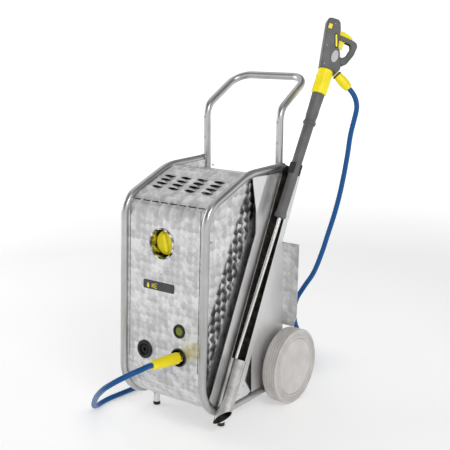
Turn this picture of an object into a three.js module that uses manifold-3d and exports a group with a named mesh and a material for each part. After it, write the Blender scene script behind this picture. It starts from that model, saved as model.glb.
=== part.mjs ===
// Stainless-steel mobile high-pressure cleaner: hand-pushed frame, louvred cabinet, lance holder, hose.
// Millimetres, +Z up, control panel facing -Y, lance side on +X.
import * as THREE from 'three';
import { mergeVertices } from 'three/addons/utils/BufferGeometryUtils.js';
import Module from 'manifold-3d';

const wasm = await Module();
wasm.setup();

// ---------- driving dimensions ----------
const SHIFT = new THREE.Vector3(-36.6, -20.3, 0); // puts the middle of the footprint on the origin
const GAP = 0.3;                                 // clearance between separate parts
const SHEET = 2;                                 // sheet-metal thickness
const TUBE_R = 12.5;                             // frame tube, 25 mm outside diameter
const LOOP_X = 161;                              // side loops, half spacing
const UPRIGHT = { x: 148, y: 167.6, bottom: 49.5, top: 812 };
const FRONT = { y: -232, z: 717, lean: 0.045 };  // top of the leaning front and how far it leans
const BASE_Z = 62;                               // bottom tube centre height
const CREST = { y: -25.5, z: 797.5 };            // end of the sloping top
const TOP_Z = 800.5;                             // top tube height at the uprights
const BEND = { base: 120, front: 80, crest: 200, arm: 60, corner: 60 };
const HANDLE = { x: 142, y: 340, z: 1077.5, bendZ: 979 };
const WHEEL = { r: 127, hubR: 96, width: 52, x: 228, y: 165, axleR: 8 };
const FOOT = { x: 136, y: -130, r: 11.5, padH: 12 };
const PANEL_X = 145.6;                           // inner face of the side panels
const TRAY_Z = 768;                              // recessed tray behind the louvred top
const REAR = { y: 180.7, wingX: 222, wingZ: 259, top: 545 };
const TROUGH = { x: 191.5, y0: -196.5, z0: 65.4, r: 25, wall: 1.6, lean: 26.62, openZ: 231, topZ: 806 };
const LANCE = { foot: [184, -118.5, 232.3], dir: [0.0438, 0.4464, 0.8938], out: [0.738, 0.589, -0.33] };
const HOSE_R = 8.5;

// ---------- small helpers ----------
const V = (x, y, z) => new THREE.Vector3(x, y, z);
const rad = THREE.MathUtils.degToRad;
const frontY = (z) => FRONT.y - (FRONT.z - z) * FRONT.lean;

const steel = (c, r) => new THREE.MeshStandardMaterial({ color: c, roughness: r, metalness: 1 });
const matt = (c, r) => new THREE.MeshStandardMaterial({ color: c, roughness: r, metalness: 0 });
const M = {
  tube: steel(0xc9cacb, 0.3), swirl: steel(0xbfc1c2, 0.35), sheet: steel(0xcdd0d2, 0.4),
  polish: steel(0xd8d8d8, 0.08), brass: steel(0xb08d4a, 0.35), cast: steel(0x9a9c9e, 0.6),
  yellow: matt(0xf2d600, 0.45), black: matt(0x1b1b1c, 0.55), grey: matt(0x77797b, 0.5),
  paleGrey: matt(0xcfccc8, 0.7), darkGrey: matt(0x3a3c3e, 0.5), blue: matt(0x1f5fae, 0.5),
  lens: matt(0x6f7a1c, 0.15), tank: matt(0xe6e3da, 0.5),
};
const root = new THREE.Group();
root.name = 'pressure_cleaner';
const add = (name, geometry, material) => {
  geometry.computeVertexNormals();
  geometry.translate(SHIFT.x, SHIFT.y, SHIFT.z);
  const mesh = new THREE.Mesh(geometry, material);
  mesh.name = name;
  root.add(mesh);
};

// joins and cuts
function toSolid(g) {
  const bare = new THREE.BufferGeometry();
  bare.setAttribute('position', g.getAttribute('position').clone());
  if (g.index) bare.setIndex(g.index.clone());
  const m = mergeVertices(bare, 1e-4);
  const mesh = new wasm.Mesh({
    numProp: 3, vertProperties: new Float32Array(m.attributes.position.array),
    triVerts: new Uint32Array(m.index.array),
  });
  mesh.merge();
  return new wasm.Manifold(mesh);
}
function fromSolid(s) {
  const m = s.getMesh();
  const g = new THREE.BufferGeometry();
  g.setAttribute('position', new THREE.BufferAttribute(new Float32Array(m.vertProperties), 3));
  g.setIndex(new THREE.BufferAttribute(new Uint32Array(m.triVerts), 1));
  return g.toNonIndexed();
}
const cut = (g, ...tools) => fromSolid(tools.reduce((s, t) => s.subtract(toSolid(t)), toSolid(g)));
const join = (g, ...more) => fromSolid(more.reduce((s, t) => s.add(toSolid(t)), toSolid(g)));
const common = (g, t) => fromSolid(toSolid(g).intersect(toSolid(t)));

// frames: put a shape drawn about the origin onto a point with chosen axes
function place(g, at, ex, ey) {
  const ez = ex.clone().cross(ey).normalize();
  g.applyMatrix4(new THREE.Matrix4().makeBasis(ex.clone().normalize(), ey.clone().normalize(), ez));
  return g.translate(at.x, at.y, at.z);
}
function along(g, at, dir) { // turns +Z onto dir
  g.applyQuaternion(new THREE.Quaternion().setFromUnitVectors(V(0, 0, 1), dir.clone().normalize()));
  return g.translate(at.x, at.y, at.z);
}
// solid of revolution about Z: pairs of [radius, height]; closed = ring section
function turned(pairs, at, dir, sides = 32, closed = false) {
  const pts = pairs.map(([r, h]) => new THREE.Vector2(r, h));
  if (closed) pts.push(pts[0].clone());
  const g = new THREE.LatheGeometry(pts, sides);
  g.rotateX(Math.PI / 2);
  return along(g, at, dir);
}
const rod = (r, from, to, sides = 24) => {
  const d = to.clone().sub(from);
  return turned([[0, 0], [r, 0], [r, d.length()], [0, d.length()]], from, d, sides);
};
const ring = (r0, r1, h0, h1, at, dir, sides = 32) =>
  turned([[r0, h0], [r1, h0], [r1, h1], [r0, h1]], at, dir, sides, true);
const block = (x0, x1, y0, y1, z0, z1) => {
  const g = new THREE.BoxGeometry(x1 - x0, y1 - y0, z1 - z0);
  return g.translate((x0 + x1) / 2, (y0 + y1) / 2, (z0 + z1) / 2);
};

// polyline with its corners rounded
function rounded(points, radii, step = 12) {
  const out = [points[0].clone()];
  for (let i = 1; i < points.length - 1; i++) {
    const a = points[i - 1].clone().sub(points[i]).normalize();
    const b = points[i + 1].clone().sub(points[i]).normalize();
    const half = a.angleTo(b) / 2;
    const r = radii[i - 1];
    const mid = a.clone().add(b).normalize().multiplyScalar(r / Math.sin(half)).add(points[i]);
    const p0 = a.clone().multiplyScalar(r / Math.tan(half)).add(points[i]).sub(mid);
    const turn = Math.PI - 2 * half;
    const axis = a.clone().cross(b).normalize().negate();
    const n = Math.max(2, Math.ceil(THREE.MathUtils.radToDeg(turn) / step));
    for (let k = 0; k <= n; k++) out.push(p0.clone().applyAxisAngle(axis, turn * k / n).add(mid));
  }
  out.push(points[points.length - 1].clone());
  return out;
}
// a curve that runs straight from each point to the next, with one step per point
class Route extends THREE.Curve {
  constructor(points) {
    super();
    this.points = points;
  }
  getPoint(t) {
    const at = t * (this.points.length - 1);
    const i = Math.min(Math.round(at - 1e-6), this.points.length - 2);
    return this.points[i].clone().lerp(this.points[i + 1], at - i);
  }
  getPointAt(u) {
    return this.getPoint(u);
  }
  getTangentAt(u) {
    const i = Math.round(u * (this.points.length - 1));
    const before = this.points[Math.max(i - 1, 0)];
    const after = this.points[Math.min(i + 1, this.points.length - 1)];
    return after.clone().sub(before).normalize();
  }
}
// round bar along a polyline, flat ends
function sweep(path, radius, sides = 12) {
  const round = [...Array(sides).keys()].map((k) => 2 * Math.PI * k / sides)
    .map((a) => new THREE.Vector2(radius * Math.cos(a), radius * Math.sin(a)));
  return new THREE.ExtrudeGeometry(new THREE.Shape(round), {
    steps: path.length - 1, extrudePath: new Route(path), bevelEnabled: false });
}
// outline in the YZ plane, extruded along X
function plateX(points, x0, x1, holes = []) {
  const shape = new THREE.Shape(points.map(([y, z]) => new THREE.Vector2(y, z)));
  holes.forEach((h) => shape.holes.push(h));
  const g = new THREE.ExtrudeGeometry(shape, { depth: x1 - x0, bevelEnabled: false, curveSegments: 16 });
  return place(g, V(x0, 0, 0), V(0, 1, 0), V(0, 0, 1));
}
// outline in the XZ plane, extruded along +Y
function plateY(points, y0, y1) {
  const shape = new THREE.Shape(points.map(([x, z]) => new THREE.Vector2(-x, z)));
  const g = new THREE.ExtrudeGeometry(shape, { depth: y1 - y0, bevelEnabled: false });
  return place(g, V(0, y0, 0), V(-1, 0, 0), V(0, 0, 1));
}
// polyline offset towards the inside of the cabinet
function inset(path, d) {
  return path.map((p, i) => {
    const t = path[Math.min(i + 1, path.length - 1)].clone().sub(path[Math.max(i - 1, 0)]).normalize();
    return V(p.x, p.y + t.z * d, p.z - t.y * d);
  });
}
const yz = (path) => path.map((p) => [p.y, p.z]);

// ---------- frame ----------
const corner = V(0, frontY(BASE_Z), BASE_Z);
const loopPath = rounded([V(0, 166, BASE_Z), corner, V(0, FRONT.y, FRONT.z), V(0, CREST.y, CREST.z),
  V(0, 166, TOP_Z)], [BEND.base, BEND.front, BEND.crest]);

for (const [side, s] of [['left', -1], ['right', 1]]) {
  const up = rod(TUBE_R + GAP, V(s * UPRIGHT.x, UPRIGHT.y, 20), V(s * UPRIGHT.x, UPRIGHT.y, 850), 28);
  const loop = sweep(loopPath.map((p) => V(s * LOOP_X, p.y, p.z)), TUBE_R);
  add(`${side}_side_tube`, cut(loop, up), M.tube);
  const bar = rod(TUBE_R, V(s * UPRIGHT.x, UPRIGHT.y, UPRIGHT.bottom), V(s * UPRIGHT.x, UPRIGHT.y, UPRIGHT.top));
  const hole = rod(WHEEL.axleR + GAP, V(s * 100, WHEEL.y, WHEEL.r), V(s * 200, WHEEL.y, WHEEL.r), 20);
  add(`${side}_upright`, cut(bar, hole), M.tube);
}
const arm = (s) => [V(s * UPRIGHT.x, UPRIGHT.y, UPRIGHT.top + GAP), V(s * UPRIGHT.x, UPRIGHT.y, HANDLE.bendZ),
  V(s * HANDLE.x, HANDLE.y, HANDLE.z)];
const handlePath = rounded([...arm(-1), ...arm(1).reverse()], [BEND.arm, BEND.corner, BEND.corner, BEND.arm]);
add('push_handle', sweep(handlePath, TUBE_R), M.tube);

// a cross tube under the floor pan carries the two front legs
const crossZ = BASE_Z - 11.5, crossX = LOOP_X - TUBE_R - GAP;
const leg = (s) => rod(FOOT.r, V(s * FOOT.x, FOOT.y, FOOT.padH + GAP), V(s * FOOT.x, FOOT.y, crossZ), 18);
add('foot_frame', join(rod(9, V(-crossX, FOOT.y, crossZ), V(crossX, FOOT.y, crossZ), 14), leg(-1), leg(1)), M.tube);
for (const [side, s] of [['left', -1], ['right', 1]]) {
  add(`${side}_foot_pad`, turned([[0, 0], [10.5, 0], [12, 2], [12, FOOT.padH], [0, FOOT.padH]],
    V(s * FOOT.x, FOOT.y, 0), V(0, 0, 1), 18), M.black);
}

// ---------- cabinet ----------
const COVER_X = LOOP_X - TUBE_R - GAP;
const seam = loopPath.findIndex((p) => p.z > FRONT.z - 2);              // in the middle of the front bend
const underside = V(0, -118, BASE_Z);
const frontLine = [underside, ...loopPath.slice(1, seam + 1)];
const frontCover = plateX([...yz(frontLine), ...yz(inset(frontLine, SHEET)).reverse()], -COVER_X, COVER_X);
const out = V(0, -1, FRONT.lean).normalize();                          // outward normal of the front
const onFront = (x, z, d = 0) => V(x, frontY(z), z).addScaledVector(out, d);
const PORTS = [[-8, 597, 44.7], [67, 335, 19.5], [-72, 248, 27], [66, 251, 27]]; // x, z, hole radius
const portTools = PORTS.map(([x, z, r]) => rod(r + GAP, onFront(x, z, -12), onFront(x, z, 12), 40));
const seamAt = loopPath[seam];
const NOTCH = { count: 8, pitch: 36.5, width: 27, depth: 3 };
const notchTools = [...Array(NOTCH.count).keys()].map((i) => {
  const x = (i - (NOTCH.count - 1) / 2) * NOTCH.pitch;
  return block(x - NOTCH.width / 2, x + NOTCH.width / 2, seamAt.y - 6, seamAt.y + 6, seamAt.z - NOTCH.depth, seamAt.z + 6);
});
add('front_cover', cut(frontCover, ...portTools, ...notchTools), M.swirl);

// louvred top: starts just above the seam, ends at the rear edge with a folded lip
const step = loopPath[seam + 1].clone().sub(seamAt).normalize().multiplyScalar(0.5);
const rearEdge = V(0, -15, CREST.z + 0.5);
const topLine = [seamAt.clone().add(step), ...loopPath.slice(seam + 1).filter((p) => p.y < -18), rearEdge];
let topCover = plateX([...yz(topLine), ...yz(inset(topLine, SHEET)).reverse()], -COVER_X, COVER_X);
const lip = block(-PANEL_X + GAP, PANEL_X - GAP, -15 - SHEET, -15, CREST.z - 12, CREST.z);
topCover = join(topCover, lip);
const slope = V(0, CREST.y - FRONT.y, CREST.z - FRONT.z).normalize();
const slopeUp = V(0, -slope.z, slope.y);
const LOUVRE = { rows: [-145.5, -124.5, -103.5, -82.5], pitch: 66, middle: -3.5, width: 46, height: 15 };
const louvreTools = [];
for (const y of LOUVRE.rows) {
  for (let i = 0; i < 4; i++) {
    const x = LOUVRE.middle + (i - 1.5) * LOUVRE.pitch;
    const z = FRONT.z + (y - FRONT.y) * slope.z / slope.y;
    const w = LOUVRE.width / 2, h = LOUVRE.height;
    const s = new THREE.Shape();
    s.moveTo(-w, 0);
    s.quadraticCurveTo(0, -h * 0.8, w, 0);
    s.quadraticCurveTo(0, h * 1.2, -w, 0);
    const g = new THREE.ExtrudeGeometry(s, { depth: 12, bevelEnabled: false, curveSegments: 4 });
    g.translate(0, 0, -6);
    louvreTools.push(place(g, V(x, y, z), V(1, 0, 0), slope));
  }
}
add('top_cover', cut(topCover, ...louvreTools), M.swirl);

// side panels sit just inside the loops
const sideLine = inset([V(0, 154.2, BASE_Z), ...loopPath.slice(1, -1), V(0, 154.2, TOP_Z)], SHEET + 0.6);
for (const [side, s] of [['left', -1], ['right', 1]]) {
  const x = [PANEL_X * s, (PANEL_X + SHEET) * s].sort((a, b) => a - b);
  add(`${side}_side_panel`, plateX(yz(sideLine), x[0], x[1]), M.swirl);
}
add('floor_pan', block(-PANEL_X + GAP, PANEL_X - GAP, -117.5, 154, BASE_Z, BASE_Z + SHEET), M.sheet);
const TRAY_X = PANEL_X - GAP;
add('rear_tray', join(block(-TRAY_X, TRAY_X, -14, 154, TRAY_Z, TRAY_Z + SHEET),
  block(-TRAY_X, TRAY_X, -14, -14 + SHEET, TRAY_Z, CREST.z - 3)), M.sheet);

// rear panel with wings that reach out above the wheels
const BACK_X = 150, CHAMFER = 16;
const half = [[BACK_X, 70], [BACK_X, REAR.wingZ], [REAR.wingX - CHAMFER, REAR.wingZ],
  [REAR.wingX - 5, REAR.wingZ + 40], [REAR.wingX, REAR.top]];
const rearOutline = [...half, ...half.map(([x, z]) => [-x, z]).reverse()];
add('rear_panel', plateY(rearOutline, REAR.y, REAR.y + SHEET), M.swirl);
const upperBack = block(-UPRIGHT.x + 13, UPRIGHT.x - 13, 160, 162, REAR.top - 20, 766);
add('rear_upper_panel', upperBack, M.swirl);

// plain guards between the cabinet and the wheels
for (const [side, s] of [['left', -1], ['right', 1]]) {
  const x = [160.9 * s, 162.7 * s].sort((a, b) => a - b);
  const hole = new THREE.Path().absarc(WHEEL.y, WHEEL.r, WHEEL.axleR + 2, 0, 2 * Math.PI, true);
  const z0 = BASE_Z + TUBE_R + GAP + 0.4;
  add(`${side}_wheel_guard`, plateX([[-1, z0], [REAR.y - GAP, z0], [REAR.y - GAP, REAR.top - 2],
    [120, REAR.top - 2], [-1, 250]], x[0], x[1], [hole]), M.sheet);
}

// ---------- lance plate and trough ----------
const PLATE_X = 163.6;
const troughY = (z) => TROUGH.y0 + (z - TROUGH.z0) * Math.tan(rad(TROUGH.lean));
const plateOutline = [[-260, 60], [-232, 122], [troughY(150) - 60, 150], [15, 607], [15, 672], [74, 784],
  [troughY(784) + 122, 784], [troughY(130) + 122, 130], [-10, 82], [-72, 60]];
const clear = inset([V(0, 600, BASE_Z), ...loopPath.slice(1, -1), V(0, 600, TOP_Z)], TUBE_R + 0.8);
const flat = common(plateX(plateOutline, PLATE_X, PLATE_X + SHEET), plateX(yz(clear), PLATE_X - 9, PLATE_X + 9));
const fold = new THREE.Shape([[16.4, 671], [75.4, 783], [74, 784], [12, 784]].map(([y, z]) => new THREE.Vector2(y, z)));
const foldPlate = new THREE.ExtrudeGeometry(fold, { depth: SHEET, bevelEnabled: false });
place(foldPlate, V(PLATE_X, 0, 0), V(0, 1, 0), V(0, 0, 1));
// turn the corner triangle inwards about the fold line
const foldAxis = V(0, 74 - 15, 784 - 672).normalize();
foldPlate.translate(-PLATE_X, -15, -672);
foldPlate.applyQuaternion(new THREE.Quaternion().setFromAxisAngle(foldAxis, rad(-14)));
foldPlate.translate(PLATE_X, 15, 672);
const cornerSlot = block(PLATE_X - 5, PLATE_X + 5, 276, 281, 765, 775);
add('lance_plate', cut(join(flat, foldPlate), cornerSlot), M.sheet);

const tDir = V(0, Math.sin(rad(TROUGH.lean)), Math.cos(rad(TROUGH.lean)));
const tSide = V(0, Math.cos(rad(TROUGH.lean)), -Math.sin(rad(TROUGH.lean)));
const onTrough = (z) => V(TROUGH.x, troughY(z), z);
const low = onTrough(20), high = onTrough(TROUGH.topZ);
let trough = turned([[TROUGH.r - TROUGH.wall, 0], [TROUGH.r, 0], [TROUGH.r, high.distanceTo(low)],
  [TROUGH.r - TROUGH.wall, high.distanceTo(low)]], low, tDir, 32, true);
const OPEN_TURN = rad(30);
const lipDir = V(Math.sin(OPEN_TURN), 0, 0).addScaledVector(tSide, Math.cos(OPEN_TURN));
const openDir = V(Math.cos(OPEN_TURN), 0, 0).addScaledVector(tSide, -Math.sin(OPEN_TURN));
const opening = new THREE.BoxGeometry(60, 40, 900).translate(0, 20, 450);
place(opening, onTrough(TROUGH.openZ), lipDir.clone().negate(), openDir);
const mouth = new THREE.BoxGeometry(140, 140, 60).translate(0, 0, -30);
along(mouth, V(192, -190, 63), V(-0.72, 0.35, 0.6).normalize());
const nearTube = sweep(loopPath.map((p) => V(LOOP_X, p.y, p.z)), TUBE_R + GAP);
trough = cut(trough, opening, mouth, nearTube);
add('lance_trough', trough, M.polish);

const origin = V(...LANCE.foot);
const uDir = V(...LANCE.dir).normalize();
const eDir = V(...LANCE.out).addScaledVector(uDir, -V(...LANCE.out).dot(uDir)).normalize();
const cDir = eDir.clone().cross(uDir).normalize();                     // towards the operator's side of the gun
const onLance = (a, b = 0, c = 0) =>
  origin.clone().addScaledVector(uDir, a).addScaledVector(eDir, b).addScaledVector(cDir, c);
const revolve = (pairs, sides = 24) => turned(pairs, origin, uDir, sides);

// ---------- lance and gun ----------
const TIP = -80, GRIP0 = 466, COLLAR0 = 891, COLLAR1 = 974;
add('lance_nozzle', revolve([[0, TIP], [7, TIP], [9, TIP + 6], [9, TIP + 36], [6.5, TIP + 42], [0, TIP + 42]], 20), M.polish);
add('lance_tube', revolve([[0, TIP + 42.3], [6.2, TIP + 42.3], [6.2, GRIP0 - GAP], [0, GRIP0 - GAP]], 16), M.polish);
add('lance_grip', revolve([[0, GRIP0], [15, GRIP0], [19, GRIP0 + 3], [18.6, GRIP0 + 14], [16.5, GRIP0 + 22],
  [16.5, 784], [21, 786], [21, 794], [18, 796], [20.5, COLLAR0 - 14], [20.5, COLLAR0 - GAP], [0, COLLAR0 - GAP]]), M.grey);
add('pressure_collar', revolve([[0, COLLAR0], [23, COLLAR0], [25.5, COLLAR0 + 3], [25.5, COLLAR1 - 3],
  [23.5, COLLAR1], [0, COLLAR1]], 28), M.yellow);

// closed outline in the gun's own plane (across, along), given thickness across the plane
function gunPlate(points, halfThick, bevel = 4, hole = null) {
  const shape = new THREE.Shape(points.map(([b, a]) => new THREE.Vector2(b, a)));
  if (hole) shape.holes.push(new THREE.Path(hole.map(([b, a]) => new THREE.Vector2(b, a))));
  const g = new THREE.ExtrudeGeometry(shape, {
    depth: 2 * (halfThick - bevel), bevelEnabled: bevel > 0, bevelThickness: bevel, bevelSize: bevel,
    bevelOffset: -bevel, bevelSegments: 3 });
  g.translate(0, 0, -(halfThick - bevel));
  return place(g, origin, eDir, uDir);
}
const BODY = [[-24, 974.6], [-46, 1128], [-43.5, 1140], [-34, 1144], [-12, 1145], [-3, 1138], [5, 1116], [9, 1092],
  [13, 1060], [25, 1040], [34, 1012], [41, 998], [41, 986], [29, 964], [27, 974.6]];
const GUARD = [[-6, 1070], [-4, 1101], [58, 1096], [70, 1091], [75, 1080], [72, 1051], [59, 1017], [47, 1006],
  [28, 1006], [6, 1018]];
const GUARD_HOLE = [[10, 1042], [22, 1030], [38, 1029], [48, 1040], [55, 1068], [50, 1080], [12, 1083]];
const slot = gunPlate([[-2, 1044], [56, 1044], [56, 1124], [-2, 1124]], 6.6, 0);
const PIVOT = [7, 1101];
const pin = (r, h) => rod(r, onLance(PIVOT[1], PIVOT[0], -h), onLance(PIVOT[1], PIVOT[0], h), 14);
add('gun_body', cut(join(gunPlate(BODY, 18), gunPlate(GUARD, 12, 4, GUARD_HOLE)), slot, pin(3.3, 10)), M.grey);
const TRIGGER = [[2, 1098], [2, 1114], [22, 1115], [46, 1108], [54, 1101], [53, 1094], [38, 1090], [29, 1078],
  [29, 1058], [22, 1052], [15, 1056], [12, 1078]];
add('gun_trigger', join(gunPlate(TRIGGER, 5.6, 1.2), pin(3, 9.6)), M.yellow);
const latch = new THREE.BoxGeometry(12, 16, 3.4).translate(0, 0, 1.7 + 18 + GAP);
add('safety_latch', place(latch, onLance(1113, -32), eDir, uDir), M.yellow);
const cap = new THREE.CylinderGeometry(1, 1, 2.4, 28).rotateX(Math.PI / 2).scale(11, 21, 1).translate(0, 0, 1.2 + 18 + GAP);
add('gun_side_cap', place(cap, onLance(1022, 11), eDir, uDir), M.paleGrey);
const unionAt = onLance(974, 35.2);
const unionDir = eDir.clone().multiplyScalar(0.869).addScaledVector(uDir, -0.494);
add('gun_hose_union', turned([[0, 0.6], [12, 0.6], [13.5, 3], [16.5, 26], [16.5, 44], [13.5, 60], [11.5, 64], [0, 64]],
  unionAt, unionDir, 24), M.yellow);
// rubber holder that grips the lance where it leaves the trough
const CLIP = { from: 614, to: 650, r: 17.4, wall: 3 };
const clip = turned([[CLIP.r, CLIP.from], [CLIP.r + CLIP.wall, CLIP.from], [CLIP.r + CLIP.wall, CLIP.to],
  [CLIP.r, CLIP.to]], origin, uDir, 32, true);
const clipGap = new THREE.BoxGeometry(24, 60, 80).translate(0, 30, 0);
const clipMouth = V(0.9, -0.4, 0).cross(uDir).normalize();
place(clipGap, onLance((CLIP.from + CLIP.to) / 2), clipMouth, uDir.clone().cross(clipMouth));
add('lance_clip', cut(clip, clipGap), M.black);

// ---------- controls on the front ----------
const bowlAt = onFront(-8, 597);
const RIDGE_TILT = 14;                                                 // the grip bar leans a little in its rest turn
add('switch_bowl', turned([[48.5, 0.3], [48.5, 2.4], [46, 3.2], [43.2, 1], [42.6, -24], [40, -36], [0, -36], [0, -38],
  [41.5, -38], [44.4, -28], [44.4, 0.3]], bowlAt, out, 32, true), M.polish);
const knob = turned([[0, -35.6], [24, -35.6], [26, -33], [37, -31.5], [38.5, -29], [38.5, -23], [36, -20], [0, -19.5]],
  bowlAt, out, 32);
const ridge = new THREE.CapsuleGeometry(8.5, 48, 5, 14).rotateZ(rad(RIDGE_TILT));
along(ridge, bowlAt.clone().addScaledVector(out, -20), out);
add('switch_knob', join(knob, ridge), M.yellow);
const sightAt = onFront(67, 335);
add('sight_glass_bezel', turned([[22, 0.3], [22, 3], [19, 4.5], [15, 3.5], [15, -9], [19.3, -9], [19.3, 0.3]], sightAt,
  out, 24, true), M.black);
add('sight_glass_lens', turned([[0, -8], [14.7, -8], [14.7, 1], [9, 2.6], [0, 3]], sightAt, out, 24), M.lens);
const inletAt = onFront(-72, 248);
add('inlet_port_ring', turned([[29.5, 0.3], [29.5, 4], [26, 5.5], [19, 3], [19, -14], [26.7, -14], [26.7, 0.3]], inletAt,
  out, 28, true), M.black);
add('inlet_coupling', turned([[0, -13], [18.6, -13], [18.6, -2], [13, -1], [11, 2], [8, 2], [7, -6], [0, -6]], inletAt,
  out, 24), M.black);
const outletAt = onFront(66, 251);
add('outlet_ring', turned([[29, 0.3], [29, 3.5], [26.5, 4.5], [24.5, 3], [24.5, -14], [26.7, -14], [26.7, 0.3]], outletAt,
  out, 28, true), M.black);
const hoseOut = V(-0.015, -0.994, 0.106).normalize();
add('outlet_fitting', turned([[0, -34], [12, -34], [12, -14], [17, -14], [17, -3], [13, -2], [13, 4], [0, 4]],
  outletAt, hoseOut, 6), M.brass);
add('front_hose_union', turned([[0, 4.4], [15, 4.4], [18, 8], [18, 48], [16, 86], [13.5, 116], [11, 122], [0, 122]],
  outletAt, hoseOut, 24), M.yellow);
const plateAt = onFront(-18, 462, 0.4);
const BADGE = { w: 62, h: 14, r: 5, thick: 1.2 };
const badge = new THREE.Shape();
const badgeCorners = [[1, -1, -90], [1, 1, 0], [-1, 1, 90], [-1, -1, 180]]; // side, top or bottom, start angle
for (const [sx, sz, from] of badgeCorners) {
  badge.absarc(sx * (BADGE.w - BADGE.r), sz * (BADGE.h - BADGE.r), BADGE.r, rad(from), rad(from + 90));
}
const badgeGeo = new THREE.ExtrudeGeometry(badge, { depth: BADGE.thick, bevelEnabled: false, curveSegments: 4 });
place(badgeGeo, plateAt, V(1, 0, 0), V(0, FRONT.lean, 1).normalize());
add('name_plate', badgeGeo, M.darkGrey);

// ---------- wheels ----------
const axleAt = (x) => V(x, WHEEL.y, WHEEL.r);
add('axle', rod(WHEEL.axleR, axleAt(-WHEEL.x + 12), axleAt(WHEEL.x - 12), 20), M.tube);
for (const [side, s] of [['left', -1], ['right', 1]]) {
  const dir = V(s, 0, 0), base = axleAt(s * (WHEEL.x - WHEEL.width)), R = WHEEL.r, H = WHEEL.hubR, W = WHEEL.width;
  const tread = [1, 2].flatMap((k) => [[R, 18 * k - 1.4], [R - 1.6, 18 * k - 1], [R - 1.6, 18 * k + 1], [R, 18 * k + 1.4]]);
  add(`${side}_tyre`, turned([[H, 2], [H + 14, 0], [R - 8, 0], [R, 4], ...tread, [R, W - 4], [R - 9, W],
    [H + 3, W], [H, W - 2]], base, dir, 44, true), M.paleGrey);
  const bore = WHEEL.axleR + GAP, boss = WHEEL.x - WHEEL.width - 163.6;
  add(`${side}_wheel_hub`, turned([[bore, -boss], [15, -boss], [22, 14], [60, 22], [H - GAP, 12], [H - GAP, W - 2.4],
    [H - 14, W - 0.4], [H - 15, W - 1.6], [0, W - 1.6], [0, W - 8], [bore, W - 8]], base, dir, 40, true), M.paleGrey);
}

// ---------- works inside the cabinet ----------
const MOTOR = { z: 222, r: 82, y0: -20, y1: 118 };
const motorAt = V(0, 0, MOTOR.z), back = V(0, 1, 0);
const rail = (s) => join(block(s * 62 - 14, s * 62 + 14, -112, 140, BASE_Z + SHEET + GAP, 84),
  block(s * 62 - 5, s * 62 + 5, -10, 108, 80, 136));
add('motor_cradle', join(rail(-1), rail(1), block(-62, 62, -112, -80, 70, 84), block(-62, 62, 100, 140, 70, 84)), M.cast);
add('motor_housing', cut(turned([[20, MOTOR.y0], [MOTOR.r, MOTOR.y0], [MOTOR.r, MOTOR.y1], [20, MOTOR.y1]], motorAt,
  back, 36, true), block(-90, 90, -30, 130, 100, 136.4)), M.cast);
add('motor_shaft', rod(12, V(0, -60, MOTOR.z), V(0, 140, MOTOR.z), 18), M.polish);
const fan = turned([[12 + GAP, 122], [26, 122], [26, 138], [12 + GAP, 138]], motorAt, back, 24, true);
const blades = [...Array(7).keys()].map((i) => block(22, 66, 124, 136, -1.5, 1.5).rotateY(2 * Math.PI * i / 7)
  .translate(0, 0, MOTOR.z));
add('motor_fan', join(fan, ...blades), M.black);
add('fan_cover', cut(turned([[76, 119.5], [80, 119.5], [80, 146], [0, 146], [0, 143], [76, 143]], motorAt, back, 36, true),
  ...[0, 1, 2, 3, 4, 5].map((i) => rod(9, V(44, 140, 0), V(44, 150, 0), 16).rotateY(i * Math.PI / 3)
    .translate(0, 0, MOTOR.z)), block(-90, 90, 110, 150, 100, 137)), M.darkGrey);
add('pump_crankcase', turned([[13.5, -63.5], [70, -63.5], [74, -58], [74, -21], [13.5, -21]], motorAt, back, 28, true), M.cast);
add('pump_head', join(block(-52, 52, -148, -64, MOTOR.z - 52, MOTOR.z + 60),
  rod(16, V(30, -124, MOTOR.z + 50), V(30, -124, MOTOR.z + 118), 18)), M.brass);
add('float_tank', cut(block(-120, 60, -40, 140, 420, 560), block(-117, 57, -37, 137, 423, 566)), M.tank);
add('switch_box', block(-58, 58, -160, -110, 520, 690), M.darkGrey);
add('cable_gland', turned([[0, 0], [13, 0], [13, 10], [9, 18], [5, 18], [5, 4], [0, 4]], V(-90, REAR.y + SHEET + GAP, 160),
  back, 20), M.black);

// ---------- hose ----------
const unionEnd = outletAt.clone().addScaledVector(hoseOut, 122 + GAP);
const gunEnd = unionAt.clone().addScaledVector(unionDir, 64 + GAP);
const COIL = { x: -60, y: 425, r: 150, layers: 4, turnsWide: 2 };
const frontRoute = [unionEnd, unionEnd.clone().addScaledVector(hoseOut, 16), V(63.5, -416, 265),
  V(54.5, -452, 260), V(30, -481, 244), V(-8, -492, 217), V(-58, -470, 179), V(-120, -426, 132), V(-186, -372, 78), V(-238, -322, 34), V(-268, -280, 12),
  V(-280, -225, 8.6), V(-276, -150, 8.6), V(-268, -60, 8.6), V(-264, 40, 8.6), V(-264, 140, 8.6), V(-262, 240, 8.6),
  V(-251, 330, 8.6), V(-239, 395, 8.6), V(-236, 425, 8.6)];
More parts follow.
